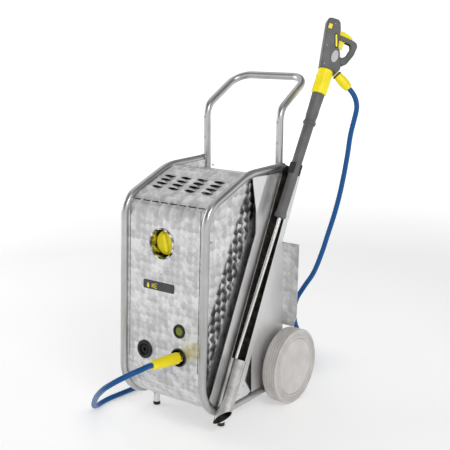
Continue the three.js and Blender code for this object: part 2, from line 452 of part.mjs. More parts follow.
// the hose turns from hanging straight down into the line of the gun's union
const BEND_R = 82;
const hang = V(-0.08, 0.06, -1).normalize();
const inward = hang.clone().addScaledVector(unionDir, -hang.dot(unionDir)).normalize();
const bendStart = gunEnd.clone().addScaledVector(unionDir, 6);
const gunBend = [4, 3, 2, 1].map((k) => {
  const turn = unionDir.angleTo(hang) * k / 4;
  const reach = bendStart.clone().addScaledVector(unionDir, BEND_R * Math.sin(turn));
  return reach.addScaledVector(inward, BEND_R * (1 - Math.cos(turn)));
});
const rearRoute = [V(100, 448, 78), V(106, 416, 112), V(100, 376, 170), V(104, 344, 236), V(122, 330, 300),
  V(152, 330, 352), V(185, 336, 406), V(211, 344, 478), V(230, 352, 549), V(248, 361, 620), V(262, 369, 690),
  V(272, 376, 758), V(281, 380, 826), V(290, 380, 893), ...gunBend, bendStart,
  gunEnd];
const smooth = (pts, n) => new THREE.CatmullRomCurve3(pts, false, 'centripetal').getSpacedPoints(n);
const nearEnd = (end, dir) => [end, end.clone().addScaledVector(dir, 4)];
add('hose_front', sweep([...nearEnd(unionEnd, hoseOut), ...smooth(frontRoute.slice(1), 42)], HOSE_R, 8), M.blue);
add('hose_rear', sweep([...smooth(rearRoute.slice(0, -1), 42), ...nearEnd(gunEnd, unionDir).reverse()], HOSE_R, 8), M.blue);
const coilH = COIL.layers * 2 * HOSE_R;
add('hose_coil', ring(COIL.r - 2 * HOSE_R, COIL.r + 2 * HOSE_R, 0.1, coilH, V(COIL.x, COIL.y, 0), V(0, 0, 1), 40), M.blue);

export default root;
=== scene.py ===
"""Stainless-steel mobile high-pressure cleaner with a side lance trough and a coiled blue hose.

Sizes are in metres in the row frame unless a name says otherwise. Places on the machine are written
in its own frame, whose X = 0 is the middle of the cabinet, and at() carries them into the row frame.
"""
import math

import bmesh
import bpy
from mathutils import Matrix, Vector


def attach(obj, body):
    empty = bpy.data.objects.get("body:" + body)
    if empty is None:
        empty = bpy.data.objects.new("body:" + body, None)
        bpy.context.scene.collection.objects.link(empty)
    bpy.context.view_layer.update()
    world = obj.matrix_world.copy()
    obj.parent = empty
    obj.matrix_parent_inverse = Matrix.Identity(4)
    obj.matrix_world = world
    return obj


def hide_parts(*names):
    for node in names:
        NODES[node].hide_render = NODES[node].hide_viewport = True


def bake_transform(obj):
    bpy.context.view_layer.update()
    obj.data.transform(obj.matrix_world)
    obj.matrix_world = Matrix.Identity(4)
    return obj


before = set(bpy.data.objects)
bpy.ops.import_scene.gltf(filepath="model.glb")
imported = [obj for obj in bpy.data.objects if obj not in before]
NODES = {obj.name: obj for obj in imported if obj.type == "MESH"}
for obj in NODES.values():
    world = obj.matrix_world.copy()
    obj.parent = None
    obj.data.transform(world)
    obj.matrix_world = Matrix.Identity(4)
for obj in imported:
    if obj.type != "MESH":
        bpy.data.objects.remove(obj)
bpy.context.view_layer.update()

# ---- driving dimensions
SHIFT = Vector((-0.0366, -0.0203, 0.0))      # machine frame to row frame
TUBE_R = 0.0125
LOOP_X = 0.161
UPRIGHT_X, UPRIGHT_Y = 0.148, 0.1676
FRONT_Y, FRONT_Z, LEAN = -0.232, 0.717, 0.045
BASE_Z, TOP_Z = 0.062, 0.8005
CREST_Y, CREST_Z = -0.0255, 0.7975
WHEEL_R, WHEEL_W, WHEEL_OUT, AXLE_Y = 0.127, 0.052, 0.228, 0.165
LANCE_FOOT = Vector((0.184, -0.1185, 0.2323))
HOSE_R = 0.0085


RIGHT, REARWARD, UP = Vector((1, 0, 0)), Vector((0, 1, 0)), Vector((0, 0, 1))
# places on the sloping front, as (x, z)
BOWL_AT, SIGHT_AT, INLET_AT, OUTLET_AT = (-0.008, 0.597), (0.067, 0.335), (-0.072, 0.248), (0.066, 0.251)
GUN_UNION_AT = (0.974, 0.0352)                          # along the lance and to its side


def at(x, y, z):
    """A place in the machine's own frame, carried into the row frame."""
    return Vector((x, y, z)) + SHIFT


def front_y(z):
    return FRONT_Y - (FRONT_Z - z) * LEAN


FRONT_OUT = Vector((0, -1, LEAN)).normalized()
SLOPE = Vector((0, CREST_Y - FRONT_Y, CREST_Z - FRONT_Z)).normalized()
SLOPE_OUT = Vector((0, -SLOPE.z, SLOPE.y))


def on_front(x, z, proud=0.0):
    return at(x, front_y(z), z) + FRONT_OUT * proud


def on_slope(x, y, proud=0.0):
    return at(x, y, FRONT_Z + (y - FRONT_Y) * SLOPE.z / SLOPE.y) + SLOPE_OUT * proud


SIDES = (("left", -1), ("right", 1))
LANCE_UP = Vector((0.0438, 0.4464, 0.8938)).normalized()
LANCE_SIDE = Vector((0.738, 0.589, -0.33))
LANCE_SIDE = (LANCE_SIDE - LANCE_UP * LANCE_SIDE.dot(LANCE_UP)).normalized()
LANCE_FACE = LANCE_SIDE.cross(LANCE_UP).normalized()


def on_lance(along, side=0.0, face=0.0):
    """A place on the lance: along it from its foot, across it in the gun's plane, and out of that plane."""
    return LANCE_FOOT + SHIFT + LANCE_UP * along + LANCE_SIDE * side + LANCE_FACE * face


# ---- camera
CAMERA_PLACE, CAMERA_TARGET, CAMERA_LENS = (1.6631, -2.2063, 1.2443), (0.0176, -0.0203, 0.6210), 69.97


def add_object(name, data, place=None, target=None):
    """Puts data into the scene as an object; with a place and a target it looks at the target."""
    thing = bpy.data.objects.new(name, data)
    bpy.context.scene.collection.objects.link(thing)
    if target:
        thing.location = place
        thing.rotation_mode = "QUATERNION"
        thing.rotation_quaternion = (Vector(target) - Vector(place)).to_track_quat("-Z", "Y")
    return thing


def make_camera():
    data = bpy.data.cameras.new("camera")
    data.lens, data.sensor_width, data.clip_end = CAMERA_LENS, 36.0, 100
    bpy.context.scene.camera = add_object("camera", data, CAMERA_PLACE, CAMERA_TARGET)


make_camera()


# ---- node helpers
class Board:
    """Adds nodes to a tree, with their properties and their inputs set or linked in one go."""

    def __init__(self, tree):
        self.tree = tree

    def add(self, kind, inputs=None, **properties):
        node = self.tree.nodes.new(kind)
        for key, value in properties.items():
            setattr(node, key, value)
        for key, value in (inputs or {}).items():
            if isinstance(value, bpy.types.NodeSocket):
                self.tree.links.new(value, node.inputs[key])
            else:
                node.inputs[key].default_value = value
        return node

    def math(self, operation, a, b=0.0, clamp=False):
        return self.add("ShaderNodeMath", {0: a, 1: b}, operation=operation, use_clamp=clamp).outputs[0]

    def times(self, a, b, clamp=False):
        return self.math("MULTIPLY", a, b, clamp)

    def line(self, a, gain, lift, clamp=False):
        """a times gain, plus lift."""
        return self.math("ADD", self.times(a, gain), lift, clamp)

    def vector(self, operation, a, b=(0, 0, 0), output="Vector"):
        return self.add("ShaderNodeVectorMath", {0: a, 1: b}, operation=operation).outputs[output]

    def length(self, a):
        return self.vector("LENGTH", a, output="Value")

    def scale(self, a, factor):
        return self.add("ShaderNodeVectorMath", {0: a, "Scale": factor}, operation="SCALE").outputs[0]

    def noise(self, vector, scale, detail, roughness=0.5):
        inputs = {"Vector": vector, "Scale": scale, "Detail": detail, "Roughness": roughness}
        return self.add("ShaderNodeTexNoise", inputs).outputs

    def blend(self, factor, a, b, kind):
        first, result = {"VECTOR": (4, 1), "RGBA": (6, 2)}[kind]
        return self.add("ShaderNodeMix", {0: factor, first: a, first + 1: b}, data_type=kind).outputs[result]

    def give(self, **sockets):
        """Feeds the group's outputs and gives back its tree."""
        self.add("NodeGroupOutput", sockets)
        return self.tree

    def ramp(self, value, stops):
        """stops are (position, grey or colour) pairs."""
        node = self.add("ShaderNodeValToRGB", {0: value})
        elements = node.color_ramp.elements
        while len(elements) < len(stops):
            elements.new(0.5)
        for element, (position, tone) in zip(elements, stops):
            element.position = position
            element.color = (tone, tone, tone, 1) if isinstance(tone, (int, float)) else (*tone, 1)
        return node.outputs["Color"]


def shader_group(name, setting, value, *outputs):
    """A group that takes a vector and one number; returns its board and its inputs."""
    tree = bpy.data.node_groups.new(name, "ShaderNodeTree")
    tree.interface.new_socket("Vector", in_out="INPUT", socket_type="NodeSocketVector")
    tree.interface.new_socket(setting, in_out="INPUT", socket_type="NodeSocketFloat").default_value = value
    for label in outputs:
        tree.interface.new_socket(label, in_out="OUTPUT", socket_type="NodeSocketFloat")
    board = Board(tree)
    return board, board.add("NodeGroupInput").outputs


def engine_turning_group():
    """Overlapping polished discs: each point belongs to the last disc laid over it; Shade is a painted sheen,
    the bow-tie highlight each disc's circular scratches catch.
    """
    board, source = shader_group("engine_turning", "Pitch", 0.03, "Shade", "Height", "Chance")
    even = board.scale(source["Vector"], board.math("DIVIDE", 1.0, source["Pitch"]))
    wander = board.noise(even, 0.55, 1.0)["Color"]
    place = board.vector("ADD", even, board.scale(board.vector("SUBTRACT", wander, (0.5, 0.5, 0.5)), 0.5))
    place = board.vector("MULTIPLY", place, (1.0, 1.0, 0.0))
    low = board.vector("FLOOR", place)
    inside = board.vector("SUBTRACT", place, low)
    disc_radius = 0.74                                  # in pitches
    offset, centre = inside, low
    for corner in ((1, 0, 0), (0, 1, 0), (1, 1, 0)):
        arm = board.vector("SUBTRACT", inside, corner)
        covered = board.math("LESS_THAN", board.length(arm), disc_radius)
        offset = board.blend(covered, offset, arm, "VECTOR")
        centre = board.blend(covered, centre, board.vector("ADD", low, corner), "VECTOR")
    parts = board.add("ShaderNodeSeparateXYZ", {0: offset}).outputs
    distance = board.length(offset)
    chance = board.add("ShaderNodeTexWhiteNoise", {"Vector": centre}, noise_dimensions="3D").outputs["Value"]
    angle = board.math("ARCTAN2", parts["Y"], parts["X"])
    # painted sheen: bright and dark wedges round each disc centre stand in for the highlight its circular
    # scratches catch
    reflection_wedge = board.math("COSINE", board.line(angle, 2.0, board.times(chance, 1.1)))
    reach = board.times(distance, 1.35, clamp=True)
    shade = board.line(board.times(reflection_wedge, reach), 0.5, 0.5)
    rings = board.times(board.math("SINE", board.times(distance, 95.0)), 0.012)
    return board.give(Shade=shade, Height=board.line(distance, -0.35, rings), Chance=chance)


def handling_group():
    """Soft smears and fine scratches that any metal picks up."""
    board, source = shader_group("handling_marks", "Scale", 1.0, "Smear", "Scratch")
    smear = board.noise(source["Vector"], board.times(source["Scale"], 9.0), 4.0, 0.62)
    stretched = board.vector("MULTIPLY", source["Vector"], (1.0, 1.0, 0.08))
    scratch = board.noise(stretched, board.times(source["Scale"], 420.0), 3.0)
    return board.give(Smear=smear["Fac"], Scratch=scratch["Fac"])


def moulded_group():
    """The fine spark-eroded grain of moulded plastic, with a slow drift of tone."""
    board, source = shader_group("moulded_grain", "Grain", 900.0, "Grain", "Drift")
    grain = board.noise(source["Vector"], source["Grain"], 2.0)["Fac"]
    return board.give(Grain=grain, Drift=board.noise(source["Vector"], 22.0, 5.0)["Fac"])


ENGINE_TURNING = engine_turning_group()
HANDLING = handling_group()
MOULDED = moulded_group()


class Finish(Board):
    """One material: a Principled shader on a board of its own."""

    def __init__(self, name, slot=None, **plain):
        self.material = bpy.data.materials.new(name)
        self.material.use_nodes = True
        super().__init__(self.material.node_tree)
        self.shader = self.tree.nodes["Principled BSDF"]
        for label, value in plain.items():
            self.shader.inputs[label.replace("_", " ")].default_value = value
        self.place = self.add("ShaderNodeTexCoord").outputs["Object"]

    def group(self, tree, **inputs):
        return self.add("ShaderNodeGroup", {"Vector": self.place, **inputs}, node_tree=tree).outputs

    def along(self, weights):
        """How far each point lies along a direction, in metres."""
        return self.vector("DOT_PRODUCT", self.place, tuple(weights), "Value")

    def tone(self, value, dark, light, low=0.3, high=0.7):
        return self.ramp(value, [(low, dark), (high, light)])

    def feed(self, label, socket):
        self.tree.links.new(socket, self.shader.inputs[label])

    def bump(self, height, distance, strength=1.0, normal=None):
        inputs = {"Height": height, "Distance": distance, "Strength": strength}
        if normal is not None:
            inputs["Normal"] = normal
        return self.add("ShaderNodeBump", inputs).outputs["Normal"]

    def dress(self, colour, rough, normal=None):
        """Feeds the shader and gives back the finished material."""
        for label, socket in (("Base Color", colour), ("Roughness", rough), ("Normal", normal)):
            if socket is not None:
                self.feed(label, socket)
        return self.material


def turned_steel(name, across, up, tones, pitch=0.023, reflection_band=None):
    """Engine-turned sheet; across and up are the weights that lay the pattern on the sheet's own plane.

    The last argument is (weights, middle, half width): a strip painted dark as the reflection of the lance
    plate and trough beside it.
    """
    finish = Finish(name, "swirl_sheet", Metallic=1.0)
    flat = finish.add("ShaderNodeCombineXYZ", {"X": finish.along(across), "Y": finish.along(up)}).outputs[0]
    discs = finish.group(ENGINE_TURNING, Vector=flat, Pitch=pitch)
    marks = finish.group(HANDLING, Scale=1.0)
    close = finish.group(HANDLING, Scale=4.5)
    # the colour takes a little of the discs' painted sheen, with their random tone and the handling marks
    level = finish.line(discs["Shade"], 0.12, finish.times(discs["Chance"], 0.14))
    level = finish.line(marks["Smear"], 0.26, level)
    level = finish.line(close["Smear"], 0.48, level, clamp=True)
    colour = finish.tone(level, *tones, 0.40, 0.62)
    # painted reflection: a dark mottled strip where the lance plate and trough are seen mirrored in the sheet
    if reflection_band:
        weights, middle, half = reflection_band
        ragged = finish.math("ADD", finish.along(weights), finish.times(close["Smear"], 0.03))
        away = finish.math("ABSOLUTE", finish.math("SUBTRACT", ragged, middle + 0.015))
        inside = finish.math("DIVIDE", finish.math("SUBTRACT", half, away), 0.012, clamp=True)
        mottle = finish.line(discs["Shade"], 0.5, level)
        reflected_dark = finish.ramp(mottle, [(0.55, 0.02), (0.72, 0.09), (0.88, 0.32), (1.0, 0.75)])
        colour = finish.blend(finish.times(inside, 0.95), colour, reflected_dark, "RGBA")
    rough = finish.line(discs["Shade"], 0.06, finish.line(close["Smear"], 0.2, 0.28))
    scratched = finish.bump(marks["Scratch"], 0.00004, 0.4)
    return finish.dress(colour, rough, finish.bump(discs["Height"], 0.0006, 0.13, scratched))


def brushed_steel(name, slot, dark, light, rough, follow_tube=False):
    """Fine streaks, along the tube's own path or else along Z."""
    finish = Finish(name, slot, Metallic=1.0)
    if follow_tube:
        uv = finish.add("ShaderNodeUVMap", uv_map="UVMap").outputs["UV"]
        lie = finish.vector("MULTIPLY", uv, (26.0, 5.0, 1.0))
    else:
        lie = finish.vector("MULTIPLY", finish.place, (260.0, 260.0, 9.0))
    streak = finish.noise(lie, 1.0, 5.0)["Fac"]
    marks = finish.group(HANDLING, Scale=1.4)
    level = finish.line(marks["Smear"], 0.4, finish.times(streak, 0.6))
    return finish.dress(finish.tone(level, dark, light), finish.line(streak, 0.12, rough - 0.06),
        finish.bump(streak, 0.00006, 0.5))


def trough_steel(name, foot, axis):
    """Bright tube outside; the inside is painted near black, a painted dark reflection and shade in the hollow,
    with wiped streaks along the tube.
    """
    finish = Finish(name, "polished_steel", Specular_IOR_Level=0.12)
    from_foot = finish.vector("SUBTRACT", finish.place, tuple(foot))
    radius = finish.length(finish.vector("CROSS_PRODUCT", from_foot, tuple(axis)))
    outside = finish.math("GREATER_THAN", radius, TROUGH_R - 0.0008)
    along = finish.vector("DOT_PRODUCT", from_foot, tuple(axis), "Value")
    lie = finish.add("ShaderNodeCombineXYZ", {"X": finish.times(radius, 30.0),
        "Y": finish.times(along, 7.0)}).outputs[0]
    streak = finish.noise(finish.vector("ADD", lie, finish.scale(finish.place, 40.0)), 1.0, 4.0)["Fac"]
    marks = finish.group(HANDLING, Scale=2.2)
    bright = finish.tone(marks["Smear"], (0.36, 0.35, 0.34), (0.66, 0.65, 0.64))
    # painted dark reflection and shade: the inside of the half pipe is coloured near black and is not metal
    dark = finish.tone(streak, (0.006, 0.005, 0.004), (0.05, 0.042, 0.034), 0.4, 0.8)
    finish.feed("Metallic", outside)
    dull = finish.times(finish.math("SUBTRACT", 1.0, outside), 0.34)
    rough = finish.math("ADD", finish.line(streak, 0.16, 0.12), dull)
    return finish.dress(finish.blend(outside, dark, bright, "RGBA"), rough,
        finish.bump(marks["Smear"], 0.0009, 0.35))


def polished(name, slot, tone, rough):
    finish = Finish(name, slot, Metallic=1.0)
    marks = finish.group(HANDLING, Scale=3.0)
    low = tuple(c * 0.82 for c in tone)
    rough = finish.line(marks["Smear"], 0.1, rough)
    return finish.dress(finish.tone(marks["Smear"], low, tone), rough,
        finish.bump(marks["Scratch"], 0.00003, 0.3))


def spun_bowl(name, centre):
    """Chromed bowl: dark and bright wedges run round it, a painted reflection like the one spun metal shows."""
    finish = Finish(name, "polished_steel", Metallic=1.0)
    arm = finish.vector("NORMALIZE", finish.vector("SUBTRACT", finish.place, tuple(centre)))
    # painted reflection: dark and bright wedges round the bowl's centre
    reflection_wedge = finish.noise(arm, 2.6, 1.0)["Fac"]
    marks = finish.group(HANDLING, Scale=3.0)
    return finish.dress(finish.ramp(reflection_wedge, [(0.36, 0.02), (0.5, 0.3), (0.62, 0.9)]),
        finish.line(marks["Smear"], 0.1, 0.16))


def moulded(name, slot, dark, light, rough, grain=900.0, depth=0.00008, **plain):
    finish = Finish(name, slot, **plain)
    skin = finish.group(MOULDED, Grain=grain)
    rough = finish.line(skin["Grain"], 0.2, rough - 0.1)
    return finish.dress(finish.tone(skin["Drift"], dark, light), rough,
        finish.bump(skin["Grain"], depth, 0.6))


def cast_metal(name, tone, rough):
    finish = Finish(name, "cast_metal", Metallic=1.0)
    skin = finish.group(MOULDED, Grain=420.0)
    return finish.dress(finish.tone(skin["Drift"], tuple(c * 0.75 for c in tone), tone),
        finish.line(skin["Grain"], 0.25, rough - 0.12), finish.bump(skin["Grain"], 0.0004, 0.7))


def hose_skin(name):
    """Extruded blue cover: a faint lengthwise grain and the soft ripple of the braid underneath."""
    finish = Finish(name, "hose_blue", Specular_IOR_Level=0.25)
    uv = finish.add("ShaderNodeUVMap", uv_map="UVMap").outputs["UV"]
    lines = finish.noise(finish.vector("MULTIPLY", uv, (40.0, 6.0, 1.0)), 1.0, 3.0)["Fac"]
    parts = finish.add("ShaderNodeSeparateXYZ", {0: uv}).outputs
    strands = [finish.math("SINE", finish.line(parts["X"], 75.4, finish.times(parts["Y"], pitch)))
        for pitch in (900.0, -900.0)]
    braid = finish.math("ADD", *strands)
    colour = finish.tone(lines, (0.003, 0.062, 0.20), (0.006, 0.105, 0.33))
    normal = finish.bump(braid, 0.00012, 0.35, finish.bump(lines, 0.0001, 0.4))
    return finish.dress(colour, finish.line(lines, 0.16, 0.3), normal)


def glazed(name, slot, dark, light):
    finish = Finish(name, slot, Coat_Weight=0.35, Coat_Roughness=0.05, Specular_IOR_Level=0.3)
    skin = finish.group(MOULDED, Grain=60.0)
    return finish.dress(finish.tone(skin["Drift"], dark, light, 0.35), finish.line(skin["Grain"], 0.1, 0.08))


TROUGH_X, TROUGH_R, TROUGH_LEAN = 0.1915, 0.025, math.radians(26.62)
TROUGH_FOOT = Vector((TROUGH_X, -0.1965, 0.0654))
TROUGH_UP = Vector((0, math.sin(TROUGH_LEAN), math.cos(TROUGH_LEAN)))

YELLOW = moulded("yellow_moulding", "yellow_plastic", (0.84, 0.70, 0.0), (0.95, 0.80, 0.0), 0.4)
GUN_GREY = moulded("gun_grey_moulding", "gun_grey", (0.085, 0.085, 0.087), (0.135, 0.135, 0.138), 0.5,
    Specular_IOR_Level=0.4)
BLACK = moulded("black_moulding", "black_plastic", (0.004, 0.004, 0.005), (0.014, 0.014, 0.015), 0.45,
    Specular_IOR_Level=0.35)
RUBBER = moulded("black_rubber", "black_rubber", (0.012, 0.012, 0.012), (0.03, 0.03, 0.03), 0.7,
    500.0, 0.00015)
CHARCOAL = moulded("charcoal_moulding", "charcoal_plastic", (0.02, 0.021, 0.023), (0.045, 0.046, 0.05), 0.38)
WHEEL_GREY = moulded("tyre_grey", "tyre_grey", (0.50, 0.475, 0.455), (0.62, 0.595, 0.575), 0.62,
    520.0, 0.00016)
HUB_GREY = moulded("hub_grey", "hub_grey", (0.56, 0.53, 0.51), (0.66, 0.635, 0.61), 0.5, 600.0, 0.0001)
PALE = moulded("pale_moulding", "pale_plastic", (0.42, 0.41, 0.4), (0.52, 0.51, 0.5), 0.45)
TANK = moulded("tank_moulding", "tank_plastic", (0.62, 0.6, 0.54), (0.74, 0.72, 0.66), 0.5)
LENS = glazed("olive_lens", "sight_lens", (0.10, 0.13, 0.002), (0.34, 0.38, 0.006))
HOSE = hose_skin("blue_hose_cover")
BAR = brushed_steel("brushed_tube", "frame_tube", 0.34, 0.56, 0.3, follow_tube=True)
SHEET = brushed_steel("plain_sheet", "plain_sheet", 0.70, 0.80, 0.46)
LIGHT_TONES = (0.46, 0.74)
TURNED_FRONT = turned_steel("turned_front", (1, 0, 0), (0, -1, 1), LIGHT_TONES)
TURNED_TOP = turned_steel("turned_top", (1, 0, 0), (0, 1.07, 0), LIGHT_TONES)
TURNED_SIDE = turned_steel("turned_side", (0, 1, 0), (0, 0, 1), (0.46, 0.80))
BESIDE_TROUGH = (0.0, math.cos(TROUGH_LEAN), -math.sin(TROUGH_LEAN))
REFLECTION_AWAY, REFLECTION_HALF = 0.108, 0.043                     # from the trough's axis to the painted reflection band
REFLECTION_MIDDLE = (TROUGH_FOOT + SHIFT).dot(Vector(BESIDE_TROUGH)) - REFLECTION_AWAY
# the right panel carries a painted reflection of the lance plate and trough
TURNED_RIGHT = turned_steel("turned_right", (0, 1, 0), (0, 0, 1), (0.50, 0.84), 0.029,
    reflection_band=(BESIDE_TROUGH, REFLECTION_MIDDLE, REFLECTION_HALF))
TURNED_REAR = turned_steel("turned_rear", (1, 0, 0), (0, 0, 1), (0.55, 0.85))
TROUGH = trough_steel("trough_tube", TROUGH_FOOT + SHIFT, TROUGH_UP)
BRIGHT = polished("bright_lance_tube", "polished_steel", (0.8, 0.79, 0.77), 0.08)
CHROME = spun_bowl("chromed_bowl", on_front(*BOWL_AT, -0.02))
BRASS = polished("machined_brass", "brass", (0.78, 0.58, 0.27), 0.18)
SCREW = polished("screw_steel", "polished_steel", (0.5, 0.5, 0.5), 0.22)
CAST = cast_metal("cast_aluminium", (0.55, 0.56, 0.57), 0.55)


# ---- mesh helpers
def mesh_from(name, bm):
    mesh = bpy.data.meshes.new(name)
    bm.to_mesh(mesh)
    bm.free()
    return mesh


def mesh_piece(name, bm, material, node=None, sharp=35, body="chassis"):
    """A finished mesh as a piece of the object: placed in its mesh, riding on a body."""
    mesh = mesh_from(name, bm)
    mesh.materials.append(material)
    mesh.shade_smooth()
    if sharp:
        mesh.set_sharp_from_angle(angle=math.radians(sharp))
    return settle(add_object(name, mesh), node, body)


def settle(piece, node=None, body="chassis"):
    """A piece rides on a body, and the CAD node it stands for is hidden."""
    if body:
        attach(piece, body)
    if node:
        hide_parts(node)
    return piece


def round_corners(points, radii, step_deg=4):
    """A polyline with each inner corner turned into an arc."""
    path = [points[0]]
    for before, corner, after, radius in zip(points, points[1:], points[2:], radii):
        a, b = (before - corner).normalized(), (after - corner).normalized()
        half = a.angle(b) / 2
        centre = corner + (a + b).normalized() * (radius / math.sin(half))
        arm = corner + a * (radius / math.tan(half)) - centre
        turn = math.pi - 2 * half
        axis = -a.cross(b).normalized()
        count = max(2, math.ceil(math.degrees(turn) / step_deg))
        for k in range(count + 1):
            path.append(centre + Matrix.Rotation(turn * k / count, 3, axis) @ arm)
    path.append(points[-1])
    return path


def tangent_at(path, i):
    return (path[min(i + 1, len(path) - 1)] - path[max(i - 1, 0)]).normalized()


def circle(bm, centre, side, up, radius, sides):
    """A ring of points in the plane of side and up."""
    turns = [2 * math.pi * k / sides for k in range(sides)]
    return [bm.verts.new(centre + (side * math.cos(a) + up * math.sin(a)) * radius) for a in turns]


def bridge(bm, rows, wrap=True, caps=True):
    """Faces between neighbouring rows; wrap closes each row on itself, and caps fill the first and last."""
    for low, high in zip(rows, rows[1:]):
        for k in range(len(low) - (not wrap)):
            n = (k + 1) % len(low)
            bm.faces.new((low[k], low[n], high[n], high[k]))
    if caps:
        bm.faces.new(rows[0])
        bm.faces.new(rows[-1])
    bmesh.ops.recalc_face_normals(bm, faces=bm.faces)
    return bm


def tube_mesh(path, radius, sides=24):
    """A round bar along a path, with flat ends and a UV map: once round, and metres along."""
    bm = bmesh.new()
    uv = bm.loops.layers.uv.new("UVMap")
    rings, run, side = [], [0.0], None
    for i, point in enumerate(path):
        tangent = tangent_at(path, i)
        if side is None:
            side = tangent.orthogonal()
        else:
            run.append(run[-1] + (point - path[i - 1]).length)
        side = (side - tangent * side.dot(tangent)).normalized()
        rings.append(circle(bm, point, side, tangent.cross(side), radius, sides))
    for i, (low, high) in enumerate(zip(rings, rings[1:])):
        for k in range(sides):
            n = (k + 1) % sides
            face = bm.faces.new((low[k], low[n], high[n], high[k]))
            for loop, (u, v) in zip(face.loops, ((k, i), (k + 1, i), (k + 1, i + 1), (k, i + 1))):
                loop[uv].uv = (u / sides, run[v])
    bm.faces.new(list(reversed(rings[0])))
    bm.faces.new(rings[-1])
    return bm


def turned_to(axis):
    """The turn that carries Z to an axis."""
    return UP.rotation_difference(axis).to_matrix()


def lathe_mesh(profile, base, axis, sides=64, closed=False, radius_at=None):
    """A turned shape: profile is (radius, height) pairs; radius_at(radius, height, angle) may flute it."""
    turn = turned_to(axis)
    bm = bmesh.new()
    rings = []
    for r, h in profile:
        if r == 0:
            rings.append([bm.verts.new(base + turn @ Vector((0, 0, h)))])
            continue
        ring = []
        for k in range(sides):
            a = 2 * math.pi * k / sides
            radius = radius_at(r, h, a) if radius_at else r
            ring.append(bm.verts.new(base + turn @ Vector((radius * math.cos(a), radius * math.sin(a), h))))
        rings.append(ring)
    pairs = list(zip(rings, rings[1:])) + ([(rings[-1], rings[0])] if closed else [])
    for low, high in pairs:
        for k in range(sides):
            n = (k + 1) % sides
            corners = [low[k % len(low)], low[n % len(low)], high[n % len(high)], high[k % len(high)]]
            unique = list(dict.fromkeys(corners))
            if len(unique) > 2:
                bm.faces.new(unique)
    bmesh.ops.recalc_face_normals(bm, faces=bm.faces)
    return bm


def metres(profile_mm):
    return [(r / 1000, h / 1000) for r, h in profile_mm]


def lathe(name, profile_mm, base, axis, material, node=None, sides=56, closed=False, sharp=35, body="chassis"):
    bm = lathe_mesh(metres(profile_mm), base, axis, sides, closed)
    return mesh_piece(name, bm, material, node, sharp, body)


def cad_mesh(node):
    bm = bmesh.new()
    bm.from_mesh(NODES[node].data)
    bmesh.ops.remove_doubles(bm, verts=bm.verts, dist=2e-5)
    return bm


def fine(node, material, sharp=32, bevel=0.0, name=None, body="chassis"):
    """The CAD solid as a clean, smooth-shaded mesh with its sharp edges broken."""
    bm = cad_mesh(node)
    bmesh.ops.dissolve_limit(bm, angle_limit=math.radians(0.6), verts=bm.verts, edges=bm.edges)
    piece = mesh_piece(name or f"{node}_piece", bm, material, node, sharp, body)
    if bevel:
        edge = piece.modifiers.new("broken edges", "BEVEL")
        edge.width, edge.segments, edge.limit_method = bevel, 2, "ANGLE"
        edge.angle_limit = math.radians(40)
    return piece


def keep(node, material):
    """A CAD node whose shape is right keeps it and takes its finish."""
    slots = NODES[node].data.materials
    if not slots:
        slots.append(material)
    for index in range(len(slots)):
        slots[index] = material


def evaluated_mesh(piece):
    """Bakes a piece's modifiers into its mesh and removes them."""
    graph = bpy.context.evaluated_depsgraph_get()
    mesh = bpy.data.meshes.new_from_object(piece.evaluated_get(graph), depsgraph=graph)
    piece.modifiers.clear()
    piece.data = mesh
    return piece


# ---- geometry node trees
def geometry_tree(name, **more):
    """A tree that takes points, a shape, a material and what more says; returns its board and its inputs."""
    tree = bpy.data.node_groups.new(name, "GeometryNodeTree")
    for label, kind in {"Geometry": "Geometry", "Shape": "Object", "Material": "Material", **more}.items():
        tree.interface.new_socket(label, in_out="INPUT", socket_type=f"NodeSocket{kind}")
    tree.interface.new_socket("Geometry", in_out="OUTPUT", socket_type="NodeSocketGeometry")
    board = Board(tree)
    return board, board.add("NodeGroupInput").outputs


def copies(board, source, points, **settings):
    """The shape on every point, made real and given the material."""
    shape = board.add("GeometryNodeObjectInfo", {"Object": source["Shape"]}).outputs["Geometry"]
    laid = board.add("GeometryNodeInstanceOnPoints", {"Points": points, "Instance": shape, **settings})
    whole = board.add("GeometryNodeRealizeInstances", {0: laid.outputs[0]})
    dressed = board.add("GeometryNodeSetMaterial", {
        "Geometry": whole.outputs[0], "Material": source["Material"]})
    return board.give(Geometry=dressed.outputs[0])


def spots_tree():
    """One copy of a shape on every point, its Z axis turned to the point's facing."""
    board, source = geometry_tree("on_each_spot", Scale="Float")
    facing = board.add("GeometryNodeInputNamedAttribute", {"Name": "facing"}, data_type="FLOAT_VECTOR")
    turn = board.add("FunctionNodeAlignRotationToVector", {"Vector": facing.outputs["Attribute"]}, axis="Z")
    return copies(board, source, source["Geometry"], Rotation=turn.outputs[0], Scale=source["Scale"])


def grid_tree():
    """Rows and columns of a shape on a flat grid about the origin."""
    board, source = geometry_tree("in_rows_and_columns", Columns="Int", Rows="Int", ColumnPitch="Float",
        RowPitch="Float")
    sizes = [board.times(board.math("SUBTRACT", source[count], 1.0), source[pitch])
        for count, pitch in (("Columns", "ColumnPitch"), ("Rows", "RowPitch"))]
    grid = board.add("GeometryNodeMeshGrid", {"Size X": sizes[0], "Size Y": sizes[1],
        "Vertices X": source["Columns"], "Vertices Y": source["Rows"]})
    return copies(board, source, grid.outputs[0])


def ring_tree():
    """A shape repeated round the Z axis, its X axis pointing outwards."""
    board, source = geometry_tree("round_a_ring", Count="Int", Radius="Float")
    ring = board.add("GeometryNodeMeshCircle", {"Vertices": source["Count"], "Radius": source["Radius"]})
    place = board.add("GeometryNodeInputPosition").outputs[0]
    turn = board.add("FunctionNodeAlignRotationToVector", {"Vector": place}, axis="X", pivot_axis="Z")
    return copies(board, source, ring.outputs[0], Rotation=turn.outputs[0])


ON_SPOTS, IN_GRID, ROUND_RING = spots_tree(), grid_tree(), ring_tree()


